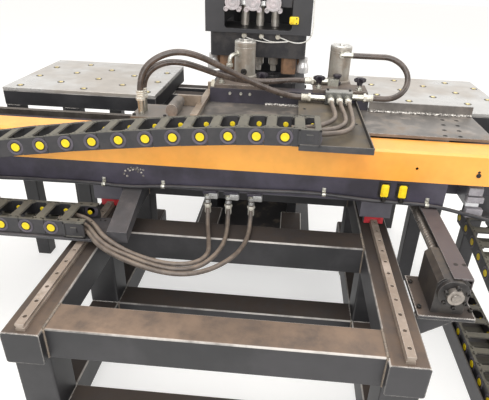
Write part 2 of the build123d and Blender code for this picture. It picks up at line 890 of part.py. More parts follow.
def chain(pins, across, width, height):
    """Links from pin to pin along a list of pin places."""
    links = []
    for k in range(len(pins) - 1):
        along = (pins[k + 1] - pins[k]).normalized()
        frame = Plane(origin=pins[k], x_dir=along, z_dir=along.cross(across))
        links.append(frame.location * chain_link(pins[k], pins[k + 1], width, height, k % 2 == 0))
    return links


def walk(curve, pitch):
    """Pins spaced by the chain's pitch along a closely stepped curve."""
    pins = [curve[0]]
    for point in curve[1:]:
        if (point - pins[-1]).length >= pitch:
            pins.append(pins[-1] + (point - pins[-1]).normalized() * pitch)
    return pins


def chain_curve(start, low_level, bend_at, end_at, droop, droop_span, droop_power):
    """Side view of a chain as (along, up) steps: drooping strand, bend, level strand.

    The strand leaves the start in the minus direction, bends down round to the low level
    and comes back towards the end. Its first link is level, and the droop is its fall one
    droop span after that link.
    """
    along, level = start
    step = 2.0
    side = []

    def fall(distance):
        return droop * (max(distance - chain_pitch, 0.0) / droop_span) ** droop_power

    reach = along - bend_at
    count = int(reach / step)
    for k in range(count + 1):
        side.append((along - k * step, level - fall(k * step)))
    last_along, last_level = side[-1]
    slope = math.atan2(side[-2][1] - last_level, step)
    radius = (last_level - low_level) / (1 + math.cos(slope))
    heading = math.pi + slope
    centre_along = last_along - radius * math.sin(heading)
    centre_level = last_level + radius * math.cos(heading)
    turn = 2 * math.pi - heading
    turns = int(turn * radius / step)
    for k in range(1, turns + 1):
        angle = heading + turn * k / turns
        side.append((centre_along + radius * math.sin(angle), centre_level - radius * math.cos(angle)))
    along = centre_along
    while along < end_at:
        along += step
        side.append((along, low_level))
    return side


def x_chain():
    """Drag chain from the hose tray to the ledge in front of the beam."""
    side = chain_curve((x_chain_start_x, x_chain_start_z), x_chain_low_z, x_chain_bend_x,
                       x_chain_low_end_x, x_chain_droop, x_chain_droop_span, x_chain_droop_power)
    turn_at = min(range(len(side)), key=lambda k: side[k][0])
    skew_from = next(k for k, place in enumerate(side) if place[0] < x_chain_skew_x)
    curve = []
    for k, (x, z) in enumerate(side):
        share = min(max((k - skew_from) / (turn_at - skew_from), 0.0), 1.0)
        curve.append(Vector(x, x_chain_upper_y + share * (x_chain_lower_y - x_chain_upper_y), z))
    return chain(walk(curve, chain_pitch), Vector(0, 1, 0), x_chain_width, x_chain_height)


def y_chain():
    """Drag chain from the beam's right end down to the trough on the floor."""
    side = chain_curve((y_chain_start_y, y_chain_start_z), y_chain_low_z, y_chain_bend_y,
                       y_chain_low_end_y, y_chain_droop, y_chain_droop_span, y_chain_droop_power)
    curve = [Vector(y_chain_centre_x, y, z) for y, z in side]
    return chain(walk(curve, chain_pitch), Vector(1, 0, 0), y_chain_width, y_chain_height)


def chain_support():
    """Ledge under the cross chain on its arm and posts, and the anchor of the other chain."""
    ledge_bottom = ledge_top - ledge_thickness
    ledge = block(ledge_left_x, ledge_right_x, ledge_front_y, ledge_rear_y, ledge_bottom, ledge_top)
    section = [(chain_arm_front_y, ledge_bottom), (panel_front_y + 30, beam_bottom - chain_arm_depth),
               (panel_front_y + 90, beam_bottom - chain_arm_depth), (panel_front_y + 90, beam_bottom),
               (panel_front_y + 10, beam_bottom), (chain_arm_front_y, ledge_bottom + chain_arm_depth)]
    half = chain_arm_width / 2
    support = ledge + prism_x(section, chain_arm_x - half, chain_arm_x + half)
    for x in chain_post_x:
        support += block(x - half, x + half, ledge_front_y, chain_post_rear_y,
                         ledge_bottom - ledge_thickness, ledge_bottom)
        support += block(x - half, x + half, chain_post_front_y, chain_post_rear_y,
                         ledge_bottom - ledge_thickness, beam_bottom)
    half = y_chain_width / 2 - 4
    top = y_chain_start_z + y_chain_height / 2
    plate = block(y_chain_centre_x - half, y_chain_centre_x + half, y_chain_anchor_y - 10,
                  y_chain_anchor_y, top, beam_bottom)
    foot = block(y_chain_centre_x - half, y_chain_centre_x + half, y_chain_anchor_y - 50,
                 y_chain_anchor_y, top, top + 8)
    low = x_chain_low_z - x_chain_height / 2
    support += block(x_chain_low_end_x - chain_pitch, x_chain_low_end_x, x_chain_lower_y - 40,
                     x_chain_lower_y + 40, ledge_top, low)
    return [support, plate + foot]


def y_chain_trough():
    """Floor trough for the lower strand: a web between two side walls."""
    t = trough_sheet
    web = block(trough_left_x, trough_right_x, trough_front_y, trough_rear_y,
                trough_floor - t, trough_floor)
    left = block(trough_left_x - t, trough_left_x, trough_front_y, trough_rear_y,
                 0, trough_wall_top)
    right = block(trough_right_x, trough_right_x + t, trough_front_y, trough_rear_y,
                  0, trough_wall_top)
    pad = block(y_chain_centre_x - 40, y_chain_centre_x + 40, y_chain_low_end_y - chain_pitch,
                y_chain_low_end_y, trough_floor, y_chain_low_z - y_chain_height / 2)
    return web + left + right + pad


# Ball screw of the lengthwise feed
def screw_bearings():
    """Bearing housings at both ends of the lengthwise screw."""
    pieces = []
    for front, length in ((bearing_front_y, bearing_front_length),
                          (bearing_rear_y, bearing_rear_length)):
        body = block(y_screw_x - bearing_half_width, y_screw_x + bearing_half_width,
                     front + bearing_cap_thickness, front + length, screw_shelf_top, bearing_top)
        body = chamfer(body.edges().filter_by(Axis.Y).group_by(Axis.Z)[-1], 14)
        cap = bar_y(y_screw_x, y_screw_z, front, front + bearing_cap_thickness,
                    bearing_cap_radius)
        cap -= block(y_screw_x - 60, y_screw_x + 60, front - 5, front + 40,
                     bearing_top, bearing_top + 40)
        bore = bar_y(y_screw_x, y_screw_z, front - 1, front + length + 1,
                     y_journal_radius + running_gap)
        pieces.append(body + cap - bore)
    return pieces


def screw_guard():
    """Folded guard over the lengthwise screw, open to the left for the nut."""
    t = guard_sheet
    right = y_screw_x + bearing_half_width
    rear = bearing_rear_y + bearing_rear_length
    section = [(guard_left_x, bearing_top), (guard_left_x, bearing_top + t),
               (right + t, bearing_top + t), (right + t, guard_skirt_bottom),
               (right, guard_skirt_bottom), (right, bearing_top)]
    return prism_y(section, guard_front_y, rear)


def y_screw():
    """Lengthwise ball screw with its journals and lock nut."""
    rear = bearing_rear_y + bearing_rear_length
    thread_front = bearing_front_y + bearing_front_length + 2
    screw = bar_y(y_screw_x, y_screw_z, thread_front, bearing_rear_y - 2, y_screw_radius)
    screw += bar_y(y_screw_x, y_screw_z, y_screw_front_y, rear - 2, y_journal_radius)
    nut = bar_y(y_screw_x, y_screw_z, y_screw_front_y + 4,
                y_screw_front_y + 4 + y_lock_nut_length, y_lock_nut_radius)
    return screw + nut


def y_nut_bracket():
    """Ball nut and the arm that ties it to the right riser."""
    side_x = half_gauge + riser_width / 2
    low = y_screw_z - y_nut_radius
    high = y_screw_z + y_nut_radius
    arm = block(side_x, side_x + 12, riser_rear_y - 100, y_nut_rear_y, low, high)
    lug = block(side_x + 12, y_screw_x, y_nut_front_y, y_nut_rear_y, low, high)
    nut = bar_y(y_screw_x, y_screw_z, y_nut_front_y - 14, y_nut_rear_y, y_nut_radius)
    bore = bar_y(y_screw_x, y_screw_z, y_nut_front_y - 20, y_nut_rear_y + 1,
                 y_screw_radius + running_gap)
    return arm + lug + nut - bore


def y_servo():
    """Servo motor behind the rear bearing housing."""
    start = bearing_rear_y + bearing_rear_length
    half = servo_flange / 2
    flange = block(y_screw_x - half, y_screw_x + half, start, start + servo_flange_length,
                   screw_shelf_top, y_screw_z + half)
    half = servo_body / 2
    body = block(y_screw_x - half, y_screw_x + half, start + servo_flange_length,
                 start + servo_flange_length + servo_length, y_screw_z - half, y_screw_z + half)
    body = chamfer(body.edges().filter_by(Axis.Y), 12)
    return flange + body


# Press
def press_side_plates():
    """Two C shaped side plates with rounded throats."""
    outline = [(press_front_y, press_base_top), (press_front_y, press_bed_top),
               (press_throat_rear_y, press_bed_top), (press_throat_rear_y, press_head_bottom),
               (press_front_y, press_head_bottom), (press_front_y, press_top - 90),
               (press_front_y + 90, press_top), (press_rear_y - 90, press_top),
               (press_rear_y, press_top - 90), (press_rear_y, press_base_top)]
    inner = press_half_width - press_side_plate
    face = make_face(Polyline([(inner, y, z) for y, z in outline], close=True))
    corners = [v for v in face.vertices() if abs(v.Y - press_throat_rear_y) < 0.01]
    face = fillet(corners, press_throat_radius)
    right = extrude(face, amount=press_side_plate, dir=(1, 0, 0))
    return [right, mirrored(right)]


def press_cross_plates():
    """Base, bolster, crown and back plate between the side plates."""
    inner = press_half_width - press_side_plate
    base = block(-press_base_half_width, press_base_half_width, press_base_front_y,
                 press_base_rear_y, 0, press_base_top)
    holes = [post(side * foundation_spacing_x / 2, foundation_first_y + k * foundation_spacing_y,
                  -1, press_base_top + 1, foundation_hole_radius)
             for side in (-1, 1) for k in (0, 1)]
    bolster = block(-inner, inner, press_front_y, bolster_rear_y, bolster_bottom, press_bed_top)
    crown = block(-inner, inner, press_front_y, crown_rear_y, crown_bottom, crown_top)
    crown -= post(0, 0, crown_bottom - 1, crown_top + 1, ram_neck_radius + 5)
    back = block(-inner, inner, press_rear_y - press_back_plate, press_rear_y,
                 press_base_top, press_top)
    return [base - holes, bolster, crown, back]


def head_front():
    """Front plate of the head with the rounded window."""
    plate = block(-press_half_width, press_half_width, press_front_y - head_plate, press_front_y,
                  press_head_bottom, press_top - 90)
    window = block(-head_window_half_width, head_window_half_width, press_front_y - head_plate - 1,
                   press_front_y + 1, head_window_bottom, head_window_top)
    window = fillet(window.edges().filter_by(Axis.Y), head_window_radius)
    return plate - window


def main_cylinder():
    """Barrel of the press cylinder with its foot flange and gland bore."""
    flange_top = crown_top + cylinder_flange_thickness
    gland = ram_neck_radius + running_gap
    bore = piston_radius + running_gap
    outline = [(gland, crown_top), (cylinder_flange_radius, crown_top),
               (cylinder_flange_radius, flange_top), (cylinder_outer_radius, flange_top),
               (cylinder_outer_radius, cylinder_top), (bore, cylinder_top), (bore, flange_top),
               (gland, flange_top)]
    face = make_face(Polyline([(r, 0, z) for r, z in outline], close=True))
    return revolve(face, Axis.Z)


def cylinder_cap():
    """End cap of the press cylinder with its pressure port."""
    cap = post(0, 0, cylinder_top, cylinder_top + cap_thickness, cap_radius)
    cap = chamfer(cap.edges().group_by(Axis.Z)[-1], 10)
    top = cylinder_top + cap_thickness
    port = post(pressure_port_x, 0, top - pressure_port_depth, top + 1, pressure_port_radius)
    return cap - port


def ram_block():
    """Ram block with pockets for the punch tails and slots for the selector slides."""
    body = block(-ram_half_width, ram_half_width, ram_front_y, ram_rear_y, ram_bottom, ram_top)
    slot_low = ram_bottom + gag_slot_bottom - 0.3
    slot_high = ram_bottom + gag_slot_bottom + gag_thickness + 0.3
    pocket_top = punch_tail_top + ram_travel + 12
    for k, x in enumerate(punch_x):
        body -= post(x, 0, ram_bottom - 1, pocket_top, punch_pocket_radius)
        low, high = gag_span(k)
        body -= block(low - 0.5, high + 0.5, ram_front_y - 1, gag_out_y + gag_travel + 2,
                      slot_low, slot_high)
    return body


def gag_span(k):
    """Left and right edges of one selector slide."""
    low = min(punch_x[k] - gag_width / 2, selector_x[k] - selector_rod_radius - 2)
    high = max(punch_x[k] + gag_width / 2, selector_x[k] + selector_rod_radius + 2)
    return low, high


def selector_slide(k):
    """Slide that is pushed between the ram and one punch, with its air cylinder's rod."""
    low, high = gag_span(k)
    bottom = ram_bottom + gag_slot_bottom
    slide = block(low, high, ram_front_y + 6, gag_out_y, bottom, bottom + gag_thickness)
    rod = bar_y(selector_x[k], bottom + gag_thickness / 2, ram_front_y - selector_length + 4,
                ram_front_y + 6, selector_rod_radius)
    return slide + rod


def selector_cylinders():
    """Round air cylinders on the ram's front, each with two screw ears."""
    pieces = []
    z = ram_bottom + gag_slot_bottom + gag_thickness / 2
    for x in selector_x:
        rear = ram_front_y
        front = rear - selector_length - 8
        body = bar_y(x, z + 6, front, rear, selector_radius)
        body = chamfer(body.edges().group_by(Axis.Y)[0], 6)
        for side in (-1, 1):
            body += bar_y(x + side * selector_ear_spread, z + 6 - selector_ear_drop, rear - 22, rear,
                          selector_ear_radius)
        bore = bar_y(x, z, rear - selector_length, rear + 1, selector_rod_radius + running_gap)
        pieces.append(body - bore)
    return pieces


def ram_piston():
    """Piston rod and piston of the press cylinder."""
    rod = post(0, 0, ram_top, piston_bottom, ram_neck_radius)
    return rod + post(0, 0, piston_bottom, piston_bottom + piston_thickness, piston_radius)


def punch_guide_block():
    """Guide block under the head, with a collar between the side plates and three bores."""
    inner = press_half_width - press_side_plate
    body = block(-guide_half_width, guide_half_width, -guide_half_depth, guide_half_depth,
                 guide_bottom, press_head_bottom)
    body = chamfer(body.edges().filter_by(Axis.Z), 8)
    collar = block(-inner, inner, press_front_y, guide_half_depth, press_head_bottom,
                   head_window_bottom)
    bores = [post(x, 0, guide_bottom - 1, head_window_bottom + 1, punch_tail_radius + running_gap)
             for x in punch_x]
    return body + collar - bores


def punch(x):
    """Punch: tail, shoulder and tip in one turned piece."""
    shoulder_top = guide_bottom - 2
    shoulder_bottom = punch_tip_bottom + punch_tip_length
    outline = [(0, punch_tip_bottom), (punch_tip_radius, punch_tip_bottom),
               (punch_tip_radius, shoulder_bottom), (punch_shoulder_radius - 4, shoulder_bottom),
               (punch_shoulder_radius, shoulder_bottom + 6), (punch_shoulder_radius, shoulder_top),
               (punch_tail_radius, shoulder_top), (punch_tail_radius, punch_tail_top - 3),
               (punch_tail_radius - 3, punch_tail_top), (0, punch_tail_top)]
    face = make_face(Polyline([(r, 0, z) for r, z in outline], close=True))
    return Pos(x, 0, 0) * revolve(face, Axis.Z)


def stripper_blocks():
    """Blocks under the guide that strip the sheet off the punches."""
    right = block(stripper_inner_x, stripper_outer_x, -stripper_half_depth, stripper_half_depth,
                  stripper_bottom, guide_bottom)
    right = chamfer(right.edges().filter_by(Axis.Z), 10)
    return [right, mirrored(right)]


def hold_down_pins():
    """Polished pins beside the guide block that press on the sheet."""
    pieces = []
    for side in (-1, 1):
        pin = post(side * pillar_x, -40, pillar_bottom, guide_bottom, pillar_radius)
        pieces.append(chamfer(pin.edges().group_by(Axis.Z)[0], 2))
    return pieces


def die_set():
    """Die holder on the bolster and three flanged dies in its pockets."""
    holder = block(-die_holder_half_width, die_holder_half_width, -die_holder_half_depth,
                   die_holder_half_depth, press_bed_top, die_holder_top)
    holder = chamfer(holder.edges().filter_by(Axis.Z), 12)
    dies = []
    for x in punch_x:
        holder -= post(x, 0, press_bed_top - 1, die_holder_top + 1, die_radius)
        die = post(x, 0, press_bed_top, sheet_line, die_radius)
        die = chamfer(die.edges().group_by(Axis.Z)[-1], 2)
        dies.append(die - post(x, 0, press_bed_top - 1, sheet_line + 1, die_bore_radius))
    return [holder] + dies


# Sheet tables
def table_plates():
    """Polished plates of both sheet tables."""
    right = block(table_inner_x, table_outer_x, table_front_y, table_rear_y,
                  table_top - table_plate, table_top)
    right = chamfer(right.edges().group_by(Axis.Z)[-1], 1.5)
    return [right, mirrored(right)]


def table_frames():
    """Welded frames under the tables, tied to the press at their inner ends."""
    top = table_top - table_plate
    low = top - table_tube
    t = table_tube
    tubes = []
    for y in (table_front_y, table_rear_y - t):
        tubes.append(square_tube(table_inner_x, table_outer_x, y, y + t, low, top, 5))
    for x in (table_inner_x, table_outer_x - t):
        tubes.append(square_tube(x, x + t, table_front_y + t, table_rear_y - t, low, top, 5))
    for x in table_leg_x:
        for y in (table_front_y, table_rear_y - t):
            tubes.append(square_tube(x, x + t, y, y + t, 0, low, 5))
    for y in table_tie_y:
        tubes.append(square_tube(press_half_width, table_inner_x + t, y - t / 2, y + t / 2,
                                 low - t, low, 5))
    return tubes + [mirrored(tube) for tube in tubes]


# Hoses and cables
def lifted(points, rise):
    """A hose's route moved up with the plate that it stands on."""
    return [(x, y, z + rise) for x, y, z in points]


def hose(points, radius):
    """Hose along straight runs joined by arcs as large as the runs allow."""
    places = [Vector(*p) for p in points]
    radii = []
    for before, here, after in zip(places, places[1:], places[2:]):
        turn = math.radians(max((here - before).get_angle(after - here), 0.5))
        shorter = min((here - before).length, (after - here).length)
        radii.append(0.45 * shorter / math.tan(turn / 2))
    path = FilletPolyline(*places, radius=radii)
    ring = Plane(origin=path @ 0, z_dir=path % 0) * Circle(radius)
    body = sweep(ring, path=path)
    ratio = body.volume / (math.pi * radius ** 2 * path.length)
    print("hose radii", [round(r) for r in radii], "length", round(path.length),
          "volume over section times length", round(ratio, 4))
    return body


def supply_fittings():
    """Hydraulic fittings under the front duct, each with its nut and ferrule."""
    pieces = []
    for x in supply_fitting_x:
        outline = [(0, supply_fitting_bottom), (supply_hose_radius + 3, supply_fitting_bottom),
                   (supply_hose_radius + 3, supply_fitting_bottom + 16),
                   (supply_hose_radius, supply_fitting_bottom + 18),
                   (supply_hose_radius, supply_fitting_bottom + 22),
                   (supply_hose_radius + 6, supply_fitting_bottom + 23),
                   (supply_hose_radius + 6, beam_bottom), (0, beam_bottom)]
        face = make_face(Polyline([(r, 0, z) for r, z in outline], close=True))
        pieces.append(Pos(x, supply_fitting_y, 0) * revolve(face, Axis.Z))
    return pieces


supply_routes = (
    [(-105, -785, 580), (-105, -785, 545), (-103, -803, 514), (-98, -834, 496), (-88, -880, 492),
     (-77, -935, 492), (-70, -985, 492), (-82, -1028, 493), (-116, -1058, 495), (-165, -1068, 497),
     (-225, -1064, 502), (-300, -1046, 512), (-352, -1026, 526), (-396, -1004, 540),
     (-430, -968, 552), (-480, -926, 556), (-548, -914, 556)],
    [(-34, -785, 580), (-34, -785, 545), (-33, -803, 514), (-31, -834, 496), (-29, -880, 492),
     (-31, -935, 492), (-45, -990, 492), (-68, -1042, 492), (-104, -1078, 493),
     (-155, -1092, 496), (-220, -1086, 501), (-295, -1064, 511), (-362, -1042, 522),
     (-406, -1016, 534), (-448, -972, 546), (-498, -942, 548), (-560, -938, 548)],
    [(44, -785, 580), (44, -785, 545), (44, -803, 514), (44, -834, 496), (42, -880, 492),
     (34, -935, 492), (14, -990, 492), (-20, -1042, 492), (-65, -1084, 492), (-120, -1109, 494),
     (-185, -1112, 498), (-260, -1096, 505), (-335, -1070, 514), (-404, -1032, 524),
     (-446, -984, 536), (-498, -960, 541), (-585, -957, 541)],
)

clamp_routes = (
    [(-347, -672, 870), (-347, -672, 922), (-330, -661, 975), (-286, -647, 1010),
     (-228, -630, 1027), (-165, -612, 1015), (-95, -588, 979), (-30, -562, 942),
     (34, -532, 908), (96, -500, 878), (148, -480, 860), (188, -480, 858), (226, -480, 858)],
    [(-347, -636, 870), (-347, -636, 915), (-326, -624, 958), (-280, -610, 984),
     (-222, -596, 986), (-160, -578, 966), (-95, -552, 938), (-28, -518, 917),
     (38, -476, 905), (98, -428, 898), (150, -386, 894), (196, -372, 893), (238, -372, 893)],
    [(375, -356, 990), (513, -356, 990), (553, -372, 973), (576, -400, 945),
     (576, -432, 911), (553, -460, 883), (513, -476, 866), (415.6, -476, 866)],
)

chain_end_routes = (
    [(296, -532, 866), (296, -590, 866), (302, -650, 867), (308, -712, 868),
     (310, -770, 869), (300, -820, 870), (265, -852, 870), (215, -861, 870), (160, -862, 870)],
    [(326, -532, 866), (326, -600, 866), (334, -670, 867), (340, -738, 868),
     (341, -800, 869), (326, -850, 870), (284, -879, 870), (226, -885, 870), (160, -885, 870)],
    [(356, -532, 866), (356, -610, 866), (366, -690, 867), (371, -768, 868),
     (366, -838, 869), (340, -886, 870), (294, -907, 870), (232, -909, 870), (160, -908, 870)],
)

conduit_route = [(-1290, -816, 622), (-1200, -816, 619), (-1110, -816, 621), (-1010, -816, 618),
                 (-910, -816, 621), (-809, -816, 617), (-720, -816, 621), (-634, -816, 620),
                 (-545, -816, 622), (-462, -816, 621), (-400, -816, 616), (-340, -816, 617),
                 (-262, -816, 625), (-190, -816, 628), (-120, -816, 629), (-40, -816, 632),
                 (40, -816, 632), (130, -816, 635), (210, -816, 638), (290, -816, 636),
                 (360, -816, 630), (438, -816, 624), (520, -816, 623), (590, -816, 622),
                 (655, -816, 616), (735, -815, 599), (796, -812, 585), (846, -799, 568),
                 (884, -772, 550), (906, -733, 539), (915, -689, 536), (918, -661, 552),
                 (918, -645, 580), (918, -645, 612)]


save("stand_frame", *stand_frame())
save("levelling_feet", *levelling_feet())
save("y_rails", *y_rails())
save("y_slide_blocks", *y_slide_blocks())
save("block_seals", *block_seals())
save("risers", *risers())
save("main_beam", main_beam())
save("beam_cover", beam_cover())
save("x_rails", *x_rails())
save("x_slide_blocks", *x_slide_blocks())
save("beam_end_blocks", *beam_end_blocks())
save("x_screw", x_screw())
save("x_servo", x_servo())
save("carriage_plate", carriage_plate_solid())
save("tray", tray())
save("manifold", manifold())
save("clamp_rail", clamp_rail())
save("clamp_bodies", *[clamp_body(x) for x in clamp_centres])
save("clamp_cylinders", *[clamp_cylinder(x) for x in clamp_centres])
save("clamp_jaw_left", clamp_jaw(clamp_centres[0]))
save("clamp_jaw_right", clamp_jaw(clamp_centres[1]))
save("gauge_base", gauge_base())
save("gauge_bar", gauge_bar())
save("hose_fittings", *hose_fittings())
for name, links, split in (("x", x_chain(), x_chain_split), ("y", y_chain(), y_chain_split)):
    save(f"{name}_chain_upper", *links[:round(split[0])])
    save(f"{name}_chain_bend", *links[round(split[0]):round(split[1])])
    save(f"{name}_chain_lower", *links[round(split[1]):])
save("chain_support", *chain_support())
save("y_chain_trough", y_chain_trough())
save("screw_bearings", *screw_bearings())
save("screw_guard", screw_guard())
save("y_screw", y_screw())
save("y_nut_bracket", y_nut_bracket())
save("y_servo", y_servo())
save("press_side_plates", *press_side_plates())
save("press_cross_plates", *press_cross_plates())
save("head_front", head_front())
save("main_cylinder", main_cylinder(), cylinder_cap())
save("ram_block", ram_block())
save("ram_piston", ram_piston())
save("selector_cylinders", *selector_cylinders())
for name, k in (("left", 0), ("middle", 1), ("right", 2)):
    save(f"selector_{name}", selector_slide(k))
    save(f"punch_{name}", punch(punch_x[k]))
save("punch_guide_block", punch_guide_block())
save("stripper_blocks", *stripper_blocks(), *hold_down_pins())
save("die_set", *die_set())
save("table_plates", *table_plates())
save("table_frames", *table_frames())
save("supply_fittings", *supply_fittings())
save("supply_hoses", *[hose(route, supply_hose_radius) for route in supply_routes])
save("clamp_hoses", *[hose(lifted(route, hose_rise), clamp_hose_radius) for route in clamp_routes])
save("chain_end_hoses",
     *[hose(lifted(route, hose_rise), supply_hose_radius) for route in chain_end_routes])
save("beam_conduit", hose(conduit_route, conduit_radius))
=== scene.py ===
"""Dresses the plate punching machine: finishes, hoses, drag chains and small fittings.

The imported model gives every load-bearing solid. This script adds the studio, the camera,
a finish for each surface, the hoses on their smooth lines, the moulded links of both drag
chains and the trim that sits on the solids. Lengths and places are in millimetres, which
mm(), standing() and the mesh builders turn into Blender's metres. Finishes and the studio
are in metres.
"""
from __future__ import annotations

import logging
import math
from dataclasses import dataclass
from enum import Enum
from typing import Sequence

import bmesh
import bpy
from mathutils import Matrix, Vector

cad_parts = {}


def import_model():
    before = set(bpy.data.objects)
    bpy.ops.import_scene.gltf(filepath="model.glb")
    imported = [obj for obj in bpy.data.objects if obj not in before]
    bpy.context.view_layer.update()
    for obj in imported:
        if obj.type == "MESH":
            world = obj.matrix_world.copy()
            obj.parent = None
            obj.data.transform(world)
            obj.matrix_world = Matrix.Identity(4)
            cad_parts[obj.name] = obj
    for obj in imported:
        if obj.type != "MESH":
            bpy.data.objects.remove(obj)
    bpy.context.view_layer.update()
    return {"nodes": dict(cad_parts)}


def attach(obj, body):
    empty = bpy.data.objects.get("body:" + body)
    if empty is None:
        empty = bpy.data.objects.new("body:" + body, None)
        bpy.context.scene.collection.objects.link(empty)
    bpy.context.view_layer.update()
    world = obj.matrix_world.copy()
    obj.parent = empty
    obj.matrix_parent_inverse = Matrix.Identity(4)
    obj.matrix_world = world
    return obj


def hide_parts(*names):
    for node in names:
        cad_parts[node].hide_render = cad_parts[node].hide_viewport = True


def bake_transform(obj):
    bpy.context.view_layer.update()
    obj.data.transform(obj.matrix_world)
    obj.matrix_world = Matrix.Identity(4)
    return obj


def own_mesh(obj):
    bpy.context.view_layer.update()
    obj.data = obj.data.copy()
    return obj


log = logging.getLogger("plate_punch")

Point = tuple[float, float, float]
Colour = tuple[int, int, int]
Outline = list[tuple[float, float]]
Places = list[tuple[Point, Point]]
Socket = bpy.types.NodeSocket
Feed = Socket | float | tuple
SHARP_ANGLE = math.radians(35)
UP: Point = (0.0, 0.0, 1.0)
FRONT: Point = (0.0, -1.0, 0.0)
LEFT: Point = (-1.0, 0.0, 0.0)
RIGHT: Point = (1.0, 0.0, 0.0)


def mm(*values: float) -> tuple[float, ...]:
    """Millimetres to metres."""
    return tuple(v / 1000.0 for v in values)


def linear(colour: Colour) -> tuple[float, float, float, float]:
    """Screen colour as the linear colour that shaders take.

    Args:
        colour: Red, green and blue, 0 to 255.

    Returns:
        Linear red, green and blue with full cover.
    """
    channels = []
    for c in colour:
        s = c / 255.0
        channels.append(s / 12.92 if s <= 0.04045 else ((s + 0.055) / 1.055) ** 2.4)
    return (channels[0], channels[1], channels[2], 1.0)


def link_object(name: str, data: bpy.types.ID) -> bpy.types.Object:
    """Put new data into the scene as an object at the origin.

    Args:
        name: Object name.
        data: Mesh, curve, lamp or camera.

    Returns:
        The linked object.
    """
    made = bpy.data.objects.new(name, data)
    bpy.context.scene.collection.objects.link(made)
    return made


def hexagon(radius: float) -> Outline:
    """Six corners on a circle."""
    return [(radius * math.cos(math.radians(60 * k)), radius * math.sin(math.radians(60 * k)))
            for k in range(6)]


def disc(radius: float, low: float, high: float) -> Outline:
    """Outline of a plain disc for the lathe."""
    return [(0.0, low), (radius, low), (radius, high), (0.0, high)]


class Grain(Enum):
    """Kinds of fine surface structure."""

    FINE = "fine"
    ROUGH = "rough"


